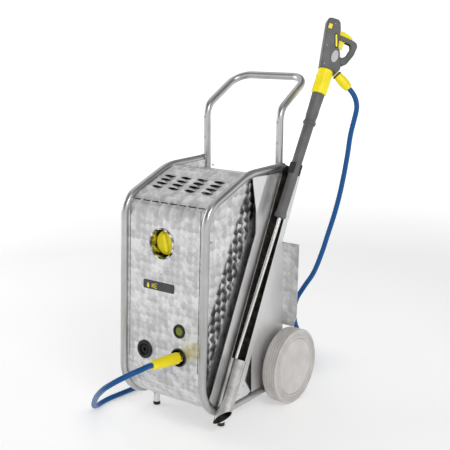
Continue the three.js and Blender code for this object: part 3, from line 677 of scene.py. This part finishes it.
def grown(name, base_mesh, tree, inputs, place, body="chassis", sharp=35):
    """Runs a tree on a base mesh, bakes it, lays it in place and makes it a piece."""
    piece = add_object(name, base_mesh)
    modifier = piece.modifiers.new("grown", "NODES")
    modifier.node_group = tree
    for item in tree.interface.items_tree:
        if item.in_out == "INPUT" and item.name in inputs:
            modifier[item.identifier] = inputs[item.name]
    evaluated_mesh(piece)
    piece.data.transform(place)
    piece.data.shade_smooth()
    piece.data.set_sharp_from_angle(angle=math.radians(sharp))
    return settle(piece, None, body)


def pattern_shape(name, bm):
    """A shape that only the trees use; it is removed once they have run."""
    return add_object(name, mesh_from(name, bm))


def on_spots(name, shape, spots, material, scale=1.0, body="chassis"):
    """spots are (place, facing) pairs."""
    mesh = bpy.data.meshes.new(name)
    mesh.from_pydata([tuple(place) for place, _ in spots], [], [])
    facing = mesh.attributes.new("facing", "FLOAT_VECTOR", "POINT")
    facing.data.foreach_set("vector", [c for _, direction in spots for c in direction])
    inputs = {"Shape": shape, "Material": material, "Scale": scale}
    return grown(name, mesh, ON_SPOTS, inputs, Matrix.Identity(4), body)


# ---- the hose
def spline_through(points, samples):
    """Centripetal Catmull-Rom curve through the points."""
    ends = [points[0] * 2 - points[1], *points, points[-1] * 2 - points[-2]]
    path = [points[0]]
    for p0, p1, p2, p3 in zip(ends, ends[1:], ends[2:], ends[3:]):
        t0 = 0.0
        t1 = t0 + max((p1 - p0).length, 1e-6) ** 0.5
        t2 = t1 + max((p2 - p1).length, 1e-6) ** 0.5
        t3 = t2 + max((p3 - p2).length, 1e-6) ** 0.5
        for k in range(1, samples + 1):
            t = t1 + (t2 - t1) * k / samples
            a1 = p0 * ((t1 - t) / (t1 - t0)) + p1 * ((t - t0) / (t1 - t0))
            a2 = p1 * ((t2 - t) / (t2 - t1)) + p2 * ((t - t1) / (t2 - t1))
            a3 = p2 * ((t3 - t) / (t3 - t2)) + p3 * ((t - t2) / (t3 - t2))
            b1 = a1 * ((t2 - t) / (t2 - t0)) + a2 * ((t - t0) / (t2 - t0))
            b2 = a2 * ((t3 - t) / (t3 - t1)) + a3 * ((t - t1) / (t3 - t1))
            path.append(b1 * ((t2 - t) / (t2 - t1)) + b2 * ((t - t1) / (t2 - t1)))
    return path


def even_steps(path, step):
    """The same path with a point every step."""
    out, carry = [path[0]], 0.0
    for a, b in zip(path, path[1:]):
        run = (b - a).length
        while carry + run >= step:
            a = a + (b - a) * ((step - carry) / run)
            run = (b - a).length
            carry = 0.0
            out.append(a)
        carry += run
    out.append(path[-1])
    return out


HOSE_OUT = Vector((-0.015, -0.994, 0.106)).normalized()
UNION_DIR = (LANCE_SIDE * 0.869 - LANCE_UP * 0.494).normalized()
FRONT_SLEEVE, GUN_SLEEVE = 0.1223, 0.0643               # how far each sleeve covers the hose
UNION_END = on_front(*OUTLET_AT) + HOSE_OUT * FRONT_SLEEVE
GUN_END = on_lance(*GUN_UNION_AT) + UNION_DIR * GUN_SLEEVE
ON_FLOOR = HOSE_R + 0.0001
GUN_STRAIGHT, GUN_BEND_R = 0.006, 0.082
COIL = {"x": -0.060, "y": 0.425, "r": 0.150, "turns": 7.478, "start_deg": 180.0}


def coil_path():
    """Two turns side by side in each of four layers, laid from the outside in and back out."""
    d = 2 * HOSE_R
    lead_in, lead_out = 0.22, 0.30                      # in turns
    wide, rise = 0.0175, 0.020
    columns = [COIL["r"] + d / 2, COIL["r"] - d / 2]
    seats = []
    for layer in range(4):
        order = columns if layer % 2 == 0 else columns[::-1]
        seats += [(r, ON_FLOOR + layer * d) for r in order]
    path = []
    steps, shift = 60, 0.16                             # steps in a turn, share of it spent changing seats
    total = int(COIL["turns"] * steps)
    for k in range(2, total - 1):
        turn = k / steps
        seat = min(int(turn), len(seats) - 1)
        radius, height = seats[seat]
        late = (turn - seat - (1 - shift)) / shift
        if late > 0 and seat + 1 < len(seats):
            ease = late * late * (3 - 2 * late)
            radius += (seats[seat + 1][0] - radius) * ease
            height += (seats[seat + 1][1] - height) * ease
        if turn < lead_in:
            radius += wide * (1 - turn / lead_in) ** 2
        left = (COIL["turns"] - turn) / lead_out
        if left < 1:
            height += rise * (1 - left) ** 2
        angle = math.radians(COIL["start_deg"]) - 2 * math.pi * turn
        path.append(at(COIL["x"] + radius * math.cos(angle), COIL["y"] + radius * math.sin(angle), height))
    return path


def gun_bend():
    """The hose turns from hanging straight down into the line of the gun's union."""
    start, radius = GUN_END + UNION_DIR * GUN_STRAIGHT, GUN_BEND_R
    hang = Vector((-0.08, 0.06, -1)).normalized()
    inward = (hang - UNION_DIR * hang.dot(UNION_DIR)).normalized()
    whole = UNION_DIR.angle(hang)
    turns = [whole * k / 4 for k in (4, 3, 2, 1)]
    return [start + UNION_DIR * (radius * math.sin(a)) + inward * (radius * (1 - math.cos(a))) for a in turns]


def hose_path():
    front = [UNION_END, UNION_END + HOSE_OUT * 0.016] + [at(*p) for p in (
        (0.0635, -0.416, 0.265), (0.0545, -0.452, 0.260), (0.030, -0.481, 0.244), (-0.008, -0.492, 0.217),
        (-0.058, -0.470, 0.179),
        (-0.120, -0.426, 0.132), (-0.186, -0.372, 0.078), (-0.238, -0.322, 0.034), (-0.268, -0.280, 0.012),
        (-0.280, -0.225, 0.0086), (-0.276, -0.150, 0.0086), (-0.268, -0.060, 0.0086), (-0.264, 0.040, 0.0086),
        (-0.264, 0.140, 0.0086), (-0.262, 0.240, 0.0086), (-0.251, 0.330, 0.0086), (-0.239, 0.395, 0.0086))]
    rear = [at(*p) for p in (
        (0.106, 0.416, 0.112), (0.100, 0.376, 0.170), (0.104, 0.344, 0.236), (0.122, 0.330, 0.300),
        (0.152, 0.330, 0.352), (0.185, 0.336, 0.406), (0.211, 0.344, 0.478), (0.230, 0.352, 0.549),
        (0.248, 0.361, 0.620), (0.262, 0.369, 0.690), (0.272, 0.376, 0.758), (0.281, 0.380, 0.826),
        (0.290, 0.380, 0.893))]
    rear += gun_bend() + [GUN_END + UNION_DIR * GUN_STRAIGHT, GUN_END]
    path = even_steps(spline_through(front + coil_path() + rear, 6), 0.007)
    return [Vector((p.x, p.y, max(p.z, ON_FLOOR))) for p in path]


def make_hose():
    path = hose_path()
    piece = mesh_piece("high_pressure_hose", tube_mesh(path, HOSE_R, 16), HOSE, None, 60, None)
    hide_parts("hose_front", "hose_rear", "hose_coil")
    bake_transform(piece)


make_hose()


# ---- frame
def loop_path():
    corner = Vector((0, front_y(BASE_Z), BASE_Z))
    return round_corners([Vector((0, 0.166, BASE_Z)), corner, Vector((0, FRONT_Y, FRONT_Z)),
        Vector((0, CREST_Y, CREST_Z)), Vector((0, 0.166, TOP_Z))], [0.120, 0.080, 0.200])


LOOP = loop_path()


def bar(name, path, node):
    mesh_piece(name, tube_mesh(path, TUBE_R, 28), BAR, node, 60)


def make_frame():
    for side, s in SIDES:
        bar(f"{side}_side_loop", [at(s * LOOP_X, p.y, p.z) for p in LOOP], f"{side}_side_tube")
        bar(f"{side}_post", [at(s * UPRIGHT_X, UPRIGHT_Y, z) for z in (0.0495, 0.2, 0.4, 0.6, 0.812)],
            f"{side}_upright")
    arms = [[*(at(s * UPRIGHT_X, UPRIGHT_Y, z) for z in (0.8123, 0.979)), at(s * 0.142, 0.340, 1.0775)]
        for s in (-1, 1)]
    bar("handle_bar", round_corners([*arms[0], *reversed(arms[1])], [0.06] * 4), "push_handle")


make_frame()


# ---- sheet metal
def weighted(piece):
    """Keeps flat faces flat beside their bends."""
    modifier = piece.modifiers.new("weighted normals", "WEIGHTED_NORMAL")
    modifier.keep_sharp, modifier.weight = True, 80
    return piece


def make_cabinet():
    weighted(fine("front_cover", TURNED_FRONT))
    weighted(fine("top_cover", TURNED_TOP))
    weighted(fine("lance_plate", SHEET, bevel=0.0005))
    weighted(fine("lance_trough", TROUGH, 40))
    keep("left_side_panel", TURNED_SIDE)
    keep("right_side_panel", TURNED_RIGHT)
    for node in ("rear_panel", "rear_upper_panel"):
        keep(node, TURNED_REAR)
    for node in ("floor_pan", "rear_tray", "left_wheel_guard", "right_wheel_guard"):
        keep(node, SHEET)


def strip_mesh(path, side, half_width, height):
    """A flat strip along a path: side is its width direction, and it stands proud of the path by height."""
    bm = bmesh.new()
    section = ((-1, -1), (-1, 0.6), (-0.5, 1), (0.5, 1), (1, 0.6), (1, -1))
    rows = []
    for i, point in enumerate(path):
        out = side.cross(tangent_at(path, i)).normalized()
        rows.append([bm.verts.new(point + side * (s * half_width) + out * (h * height)) for s, h in section])
    return bridge(bm, rows)


def make_cover_shadow_lines():
    """A thin dark strip that stands in for the shadow line where the cover's folded edges meet the frame."""
    for side, x in (("left", -0.1375), ("right", 0.1415)):
        path = [on_front(x, z / 1000) for z in range(215, 716, 20)]
        mesh_piece(f"{side}_cover_seal", strip_mesh(path, RIGHT, 0.0009, 0.0006), RUBBER)


def hood_shape():
    """A pressed louvre hood: half an eyelid, its mouth towards -Y and its foot on the sheet."""
    half, depth, height, across, back = 0.0245, 0.0165, 0.0075, 20, 7
    bm = bmesh.new()
    rows = []
    for i in range(across + 1):
        x = -1 + 2 * i / across
        swell = 1 - x * x
        rows.append([bm.verts.new((x * half, depth * swell * j / back - 0.003 * swell,
            height * swell * math.sqrt(1 - (j / back) ** 2) - 0.0002))
            for j in range(back + 1)])
    bridge(bm, rows, wrap=False, caps=False)
    bmesh.ops.remove_doubles(bm, verts=bm.verts, dist=1e-6)
    bmesh.ops.recalc_face_normals(bm, faces=bm.faces)
    bmesh.ops.solidify(bm, geom=bm.faces[:], thickness=0.0009)
    return pattern_shape("hood_shape", bm)


def make_louvres():
    shape = hood_shape()
    place = Matrix((RIGHT, SLOPE, SLOPE_OUT)).transposed().to_4x4()
    grown("louvre_hoods", bpy.data.meshes.new("louvre_hoods"), IN_GRID,
        {"Shape": shape, "Material": TURNED_TOP, "Columns": 4, "Rows": 4, "ColumnPitch": 0.066,
        "RowPitch": 0.021 / SLOPE.y}, Matrix.Translation(on_slope(-0.0035, -0.114)) @ place, sharp=50)
    bpy.data.objects.remove(shape)


def screw_shape():
    """A button head with a six-sided socket, 7.4 mm across."""
    def socket(r, h, a):
        return r / math.cos((a % (math.pi / 3)) - math.pi / 6) if r < 0.0018 else r

    profile = [(0, 0.5), (1.5, 0.5), (1.5, 2.0), (2.5, 1.95), (3.3, 1.4), (3.7, 0.5), (3.7, -0.4)]
    bm = lathe_mesh(metres(profile), Vector(), UP, 18, radius_at=socket)
    return pattern_shape("screw_shape", bm)


def rivet_shape():
    profile = [(0, 1.5), (1.4, 1.35), (2.4, 0.8), (2.9, 0.0), (2.9, -0.3)]
    return pattern_shape("rivet_shape", lathe_mesh(metres(profile), Vector(), UP, 14))


def make_fixings():
    screws = []
    for s in (-1, 1):
        screws += [(at(s * UPRIGHT_X, UPRIGHT_Y - TUBE_R, z), -REARWARD) for z in (0.875, 0.943)]
        screws += [(at(s * 0.1477, -0.194, 0.615), RIGHT * s), (at(s * 0.1477, 0.06, 0.30), RIGHT * s),
            (at(s * 0.1477, 0.06, 0.70), RIGHT * s)]
        screws += [(at(s * 0.132, 0.1828, z), REARWARD) for z in (0.09, 0.24, 0.39, 0.525)]
        screws += [(at(s * 0.205, 0.1828, z), REARWARD) for z in (0.30, 0.525)]
        screws += [(at(s * 0.120, 0.1621, z), REARWARD) for z in (0.57, 0.68, 0.78)]
    shape = screw_shape()
    on_spots("panel_screws", shape, screws, SCREW)
    small = [(on_front(-0.008, 0.502, 0.0001), FRONT_OUT), (at(0.1657, -0.077, 0.093), RIGHT),
        (at(0.1657, 0.245, 0.760), RIGHT), (at(0.1657, -0.052, 0.115), RIGHT)]
    small += [(on_front(x, z, 0.0001), FRONT_OUT) for x, z in ((-0.096, 0.188), (-0.003, 0.191), (0.054, 0.193),
        (0.133, 0.196))]
    on_spots("small_screws", shape, small, SCREW, 0.62)
    rivet = rivet_shape()
    rivets = [(on_slope(s * 0.1415, y, 0.0001), SLOPE_OUT) for s in (-1, 1) for y in (-0.160, -0.088)]
    rivets += [(at(0.1657, y, 0.776), RIGHT) for y in (0.088, 0.118)]
    on_spots("rivets", rivet, rivets, SCREW)
    for used in (rivet, shape):
        bpy.data.objects.remove(used)


def weld_bead(name, centre, axis, radius, thick=0.0022):
    """A rippled bead of weld round a tube."""
    turn = turned_to(axis)
    bm = bmesh.new()
    around, sides, rings = 72, 8, []
    for i in range(around):
        a = 2 * math.pi * i / around
        swell = thick * (1 + 0.16 * math.sin(i * 2.6))
        radial = turn @ Vector((math.cos(a), math.sin(a), 0))
        rings.append(circle(bm, centre + radial * radius, radial, axis, swell, sides))
    bridge(bm, rings + rings[:1], caps=False)
    mesh_piece(name, bm, SCREW, None, 60)


def make_welds():
    for side, s in SIDES:
        for end, z in (("top", TOP_Z), ("base", BASE_Z)):
            weld_bead(f"{side}_{end}_weld", at(s * (LOOP_X - 0.003), 0.1565, z), REARWARD, TUBE_R)


make_cabinet()
make_cover_shadow_lines()
make_louvres()
make_fixings()
make_welds()


# ---- controls
def make_controls():
    lathe("start_switch_bowl", [(48.5, 0.3), (48.5, 1.6), (47.9, 2.7), (46.6, 3.2), (45, 3.0), (43.8, 2.2),
        (43.2, 0.8), (43, -8), (42.7, -16), (42.6, -24), (41.6, -30), (39.6, -34.4), (37, -36), (0, -36),
        (0, -38), (41.5, -38), (44.4, -28), (44.4, 0.3)], on_front(*BOWL_AT), FRONT_OUT, CHROME,
        "switch_bowl", 96)
    fine("switch_knob", YELLOW, 40, 0.0012, "start_switch_knob", body="switch_knob")
    sight = on_front(*SIGHT_AT)
    lathe("sight_glass_rim", [(22, 0.3), (22, 2.6), (20.8, 4.0), (19, 4.5), (16.2, 4.2), (15, 3.2), (15, -9),
        (19.3, -9), (19.3, 0.3)], sight, FRONT_OUT, BLACK, "sight_glass_bezel", closed=True)
    lathe("sight_glass", [(0, -8), (14.7, -8), (14.7, 0.6), (12.5, 2.0), (9, 2.8), (4, 3.2), (0, 3.3)], sight,
        FRONT_OUT, LENS, "sight_glass_lens")
    inlet = on_front(*INLET_AT)
    lathe("water_inlet_ring", [(29.5, 0.3), (29.5, 3.2), (28.4, 4.8), (26, 5.5), (23.4, 5.2), (22.8, 4.2),
        (21.6, 4.4), (20.6, 3.6), (19, 2.4), (19, -14), (26.7, -14), (26.7, 0.3)], inlet, FRONT_OUT, BLACK,
        "inlet_port_ring", closed=True)
    lathe("water_inlet", [(0, -13), (18.6, -13), (18.6, -2.4), (17, -1.6), (15.2, -2.2), (14.2, -1.0),
        (13, -0.6), (11.4, 1.6), (9.6, 2.2), (8, 1.8), (7, 0.4), (7, -6), (0, -6)], inlet, FRONT_OUT, BLACK,
        "inlet_coupling")
    outlet = on_front(*OUTLET_AT)
    lathe("outlet_surround", [(29, 0.3), (29, 2.8), (28, 4.2), (26.5, 4.5), (25.2, 4.0), (24.5, 2.6),
        (24.5, -14), (26.7, -14), (26.7, 0.3)], outlet, FRONT_OUT, BLACK, "outlet_ring", closed=True)
    fine("outlet_fitting", BRASS, 30, 0.0006)
    lathe("hose_tail_sleeve", [(0, 4.4), (14.2, 4.4), (15, 5.2), (16.6, 6.6), (18, 8.4), (18, 12),
        (17.2, 12.8), (17.2, 15.2), (18, 16), (18, 19.5), (17.2, 20.3), (17.2, 22.7), (18, 23.5), (18.3, 34),
        (18, 48), (17.2, 68), (16, 86), (14.8, 102), (13.5, 116), (12.4, 120.4), (11, 122), (0, 122)], outlet,
        HOSE_OUT, YELLOW, "front_hose_union")


def flat_shape(name, outline, place, across, up, thick, material, body="chassis"):
    """A thin plate: outline is (across, up) pairs about its place."""
    out = across.cross(up)
    bm = bmesh.new()
    face = bm.faces.new([bm.verts.new(place + across * a + up * b) for a, b in outline])
    raised = bmesh.ops.extrude_face_region(bm, geom=[face])["geom"]
    bmesh.ops.translate(bm, vec=out * thick, verts=[v for v in raised if isinstance(v, bmesh.types.BMVert)])
    bmesh.ops.recalc_face_normals(bm, faces=bm.faces)
    return mesh_piece(name, bm, material, body=body)


def make_name_plate():
    """A plain charcoal plate with a water-drop sign; it carries no words."""
    fine("name_plate", CHARCOAL, 40, 0.0003, "blank_name_plate")
    up = Vector((0, LEAN, 1)).normalized()
    centre = on_front(-0.060, 0.4605, 0.0016)
    drop = [(0.0060 * math.sin(a) * math.sin(a / 2), 0.0085 * math.cos(a)) for a in
        (2 * math.pi * k / 32 for k in range(32))]
    flat_shape("drop_sign", [(-x, y) for x, y in drop][::-1], centre, RIGHT, up, 0.0004, YELLOW)
    for k in (-1, 0, 1):
        start = centre + RIGHT * 0.014 + up * (0.0032 * k)
        lean = (RIGHT + up * (0.22 * k)).normalized()
        cross = lean.cross(FRONT_OUT).normalized() * -1
        flat_shape(f"spray_line_{k + 2}", [(0, -0.0008), (0.022, -0.0008), (0.022, 0.0008), (0, 0.0008)], start,
            lean, cross, 0.0004, YELLOW)


make_controls()
make_name_plate()


# ---- lance and gun
def rib_shape(name, length, width, height):
    """A rounded rib: its length along Z, standing out along X."""
    bm = bmesh.new()
    rows = []
    for z, swell in ((0.0, 0.2), (0.06, 0.8), (0.14, 1.0), (0.86, 1.0), (0.94, 0.8), (1.0, 0.2)):
        rows.append([bm.verts.new((height * swell * x - 0.0006, width * y * (0.6 + 0.4 * swell), z * length))
            for x, y in ((0, -0.5), (0.8, -0.36), (1.0, 0.0), (0.8, 0.36), (0, 0.5))])
    return pattern_shape(name, bridge(bm, rows, wrap=False))


def ribs(name, count, radius, base, axis, length, width, height, material, body="lance"):
    shape = rib_shape(f"{name}_shape", length, width, height)
    grown(name, bpy.data.meshes.new(name), ROUND_RING,
        {"Shape": shape, "Material": material, "Count": count, "Radius": radius},
        Matrix.Translation(base) @ turned_to(axis).to_4x4(), body)
    bpy.data.objects.remove(shape)


def make_lance():
    base = LANCE_FOOT + SHIFT
    lathe("spray_nozzle", [(0, -80), (3, -80), (3.4, -78), (6.6, -80), (7.4, -79), (9, -74), (9, -68),
        (8.2, -67), (8.2, -65), (9, -64), (9, -44), (8, -40.5), (6.5, -38), (0, -38)], base, LANCE_UP, BRIGHT,
        "lance_nozzle", 40, body="lance")
    lathe("lance_pipe", [(0, -37.7), (6.2, -37.7), (6.2, 465.7), (0, 465.7)], base, LANCE_UP, BRIGHT,
        "lance_tube", 40, body="lance")
    lathe("lance_handle", [(0, 466), (13.6, 466), (15, 466.6), (18.2, 468.2), (19, 470), (18.9, 476),
        (18.4, 480), (17.4, 484), (16.6, 488), (16.5, 492), (16.5, 600), (16.9, 700), (17.3, 782), (18.2, 784),
        (20.4, 785.2), (21, 787), (21, 793), (20.2, 794.8), (18.4, 796), (18, 798), (18.6, 820), (19.6, 850),
        (20.5, 876), (20.7, 889), (20, 890.7), (0, 890.7)], base, LANCE_UP, GUN_GREY, "lance_grip",
        body="lance")
    lathe("pressure_collar_ring", [(0, 891), (22, 891), (23.2, 891.6), (24.6, 893.6), (25, 896), (24.6, 900),
        (24.4, 905), (24.2, 960), (24.7, 966), (25, 969), (24.8, 971.6), (23.5, 973.6), (0, 974)], base,
        LANCE_UP, YELLOW, "pressure_collar", 64, body="pressure_collar")
    ribs("collar_ribs", 22, 0.0244, base + LANCE_UP * 0.903, LANCE_UP, 0.057, 0.0042, 0.0013, YELLOW,
        "pressure_collar")
    ribs("handle_ribs", 16, 0.0185, base + LANCE_UP * 0.808, LANCE_UP, 0.062, 0.0026, 0.0017, GUN_GREY)
    fine("lance_clip", RUBBER, 35, 0.0006)


def softened(node, name, voxel, passes, material, body):
    """A moulded housing: the CAD solid with every corner run round."""
    piece = mesh_piece(name, cad_mesh(node), material, node, 0, body)
    skin = piece.modifiers.new("skin", "REMESH")
    skin.mode, skin.voxel_size, skin.use_smooth_shade = "VOXEL", voxel, True
    ease = piece.modifiers.new("ease", "SMOOTH")
    ease.factor, ease.iterations = 0.6, passes
    return evaluated_mesh(piece)


def make_gun():
    softened("gun_body", "gun_housing", 0.0011, 8, GUN_GREY, "lance")
    fine("gun_trigger", YELLOW, 40, 0.0008, "trigger_lever", body="gun_trigger")
    fine("safety_latch", YELLOW, 40, 0.0006, body="safety_latch")
    fine("gun_side_cap", PALE, 30, 0.0005, body="lance")
    union_base = on_lance(*GUN_UNION_AT)
    lathe("gun_hose_sleeve", [(0, 0.6), (11, 0.6), (12, 1.2), (13.5, 3.4), (14.5, 10), (15.6, 18), (16.4, 26),
        (16.5, 34), (16.3, 44), (15.2, 53), (13.7, 60), (12.6, 63), (11.5, 64), (0, 64)], union_base,
        UNION_DIR, YELLOW, "gun_hose_union", body="lance")
    lathe("gun_union_ring", [(14, 3.2), (15.4, 3.2), (16, 4), (16, 7.4), (15.4, 8.2), (14, 8.2)], union_base,
        UNION_DIR, BLACK, None, 48, True, body="lance")
    ribs("union_ribs", 14, 0.0158, union_base + UNION_DIR * 0.022, UNION_DIR, 0.027, 0.0032, 0.0013, YELLOW)
    top, bottom = on_lance(1.096, -0.006, 0.0178), on_lance(1.052, 0.008, 0.0178)
    lengthwise = (top - bottom).normalized()
    across = LANCE_FACE.cross(lengthwise).normalized() * -1
    middle = (top + bottom) / 2
    for name, half, wide, proud, material in (("slot_inlay", 0.0245, 0.0058, 0.0009, BLACK),
            ("slot_inlay_strip", 0.0205, 0.0028, 0.0014, YELLOW)):
        outline = []
        for end in (1, -1):
            for k in range(9):
                a = math.pi * k / 8 + (0 if end > 0 else math.pi)
                outline.append((wide * math.cos(a), end * (half - wide) + wide * math.sin(a)))
        flat_shape(name, outline, middle, across, lengthwise, proud, material, "lance")
    shape = screw_shape()
    spots = [(on_lance(a, b, s * 0.0176), LANCE_FACE * s) for s in (-1, 1)
        for a, b in ((0.990, -0.014), (1.050, -0.024), (1.128, -0.018))]
    on_spots("gun_screws", shape, spots, SCREW, 0.75, "lance")
    bpy.data.objects.remove(shape)


make_lance()
make_gun()


# ---- wheels and feet
def make_wheels():
    groove = [(127 - depth, 7.5 + 9.2 * k + shift) for k in range(5) for depth, shift in ((0, 0), (2.6, 0.8),
        (2.6, 2.6), (0, 3.4))]
    tyre = [(96, 2), (99, 0.6), (104, 0), (110, 0), (119, 0), (123.5, 1.2), (126.2, 3.6), *groove, (127, 48.8),
        (126.2, 50.4), (124, 51.6), (119, 52.2), (116.6, 52.2), (115.9, 50.4), (113.7, 50.4), (113, 52.2),
        (108.4, 52.3), (107.7, 50.5), (105.5, 50.5), (104.8, 52.3), (99, 52.0), (97, 51.0), (96, 49.4)]
    disc = [(8.3, -12.0), (15, -12.0), (22, 14), (60, 22), (95.7, 12), (95.7, 49.0), (94.8, 50.2),
        (93.2, 50.2), (92.4, 51.4), (88.0, 51.8), (60, 52.3), (30, 52.6), (0, 52.7), (0, 44), (8.3, 44)]
    for side, s in SIDES:
        base = at(s * (WHEEL_OUT - WHEEL_W), AXLE_Y, WHEEL_R)
        out = Vector((s, 0, 0))
        lathe(f"{side}_tyre_tread", tyre, base, out, WHEEL_GREY, f"{side}_tyre", 128, True, 50,
            body=f"{side}_wheel")
        lathe(f"{side}_wheel_disc", disc, base, out, HUB_GREY, f"{side}_wheel_hub", 112, True, 40,
            body=f"{side}_wheel")


def make_feet():
    fine("foot_frame", SHEET, 40)
    fine("axle", BRIGHT, 40)
    for side in ("left", "right"):
        fine(f"{side}_foot_pad", RUBBER, 40, 0.0008)


def make_works():
    """What the cabinet hides, and the gland on its back."""
    for node, material in (
            ("motor_cradle", CAST), ("motor_housing", CAST), ("pump_crankcase", CAST), ("pump_head", BRASS),
            ("motor_shaft", SCREW), ("motor_fan", BLACK), ("fan_cover", CHARCOAL), ("switch_box", CHARCOAL),
            ("float_tank", TANK), ("cable_gland", BLACK)):
        turns = node in ("motor_shaft", "motor_fan")
        fine(node, material, 35, 0.0006, body="motor_rotor" if turns else "chassis")


make_wheels()
make_feet()
make_works()


# ---- stage and light
def make_stage():
    bm = bmesh.new()
    bmesh.ops.create_circle(bm, cap_ends=True, segments=64, radius=30)
    mesh = mesh_from("floor", bm)
    finish = Finish("pale_floor", Roughness=0.7)
    drift = finish.noise(finish.place, 1.2, 2.0)["Fac"]
    finish.feed("Base Color", finish.tone(drift, 0.86, 0.9))
    away = finish.math("DIVIDE", finish.math("SUBTRACT", finish.length(finish.place), 2.2), 3.0, clamp=True)
    finish.feed("Emission Strength", finish.line(away, 0.5, 0.31))
    finish.shader.inputs["Emission Color"].default_value = (1, 1, 1, 1)
    mesh.materials.append(finish.material)
    add_object("floor", mesh)


LIT_POINT = (0, 0, 0.6)


def area_light(name, place, size, power, height=None):
    data = bpy.data.lights.new(name, "AREA")
    data.energy, data.size = power, size
    if height:
        data.shape, data.size_y = "RECTANGLE", height
    add_object(name, data, place, LIT_POINT)


def make_light():
    world = bpy.data.worlds.new("studio")
    bpy.context.scene.world = world
    world.use_nodes = True
    board = Board(world.node_tree)
    direction = board.add("ShaderNodeTexCoord").outputs["Generated"]
    parts = board.add("ShaderNodeSeparateXYZ", {0: direction}).outputs
    raised = board.line(parts["Z"], 0.5, 0.5)
    room = board.ramp(raised, [(0.0, 1.05), (0.56, 1.05), (0.66, 0.72), (0.76, 0.3), (0.93, 0.28), (0.99, 0.6)])
    world.node_tree.links.new(room, world.node_tree.nodes["Background"].inputs["Color"])
    world.node_tree.nodes["Background"].inputs["Strength"].default_value = 1.0
    area_light("overhead", (-1.7, 0.9, 3.4), 2.6, 14)
    area_light("left", (-3.4, -0.9, 1.7), 1.4, 30, 2.2)
    area_light("right", (2.6, -1.6, 2.8), 1.6, 42)
    bpy.context.scene.view_settings.view_transform = "Standard"


make_stage()
make_light()
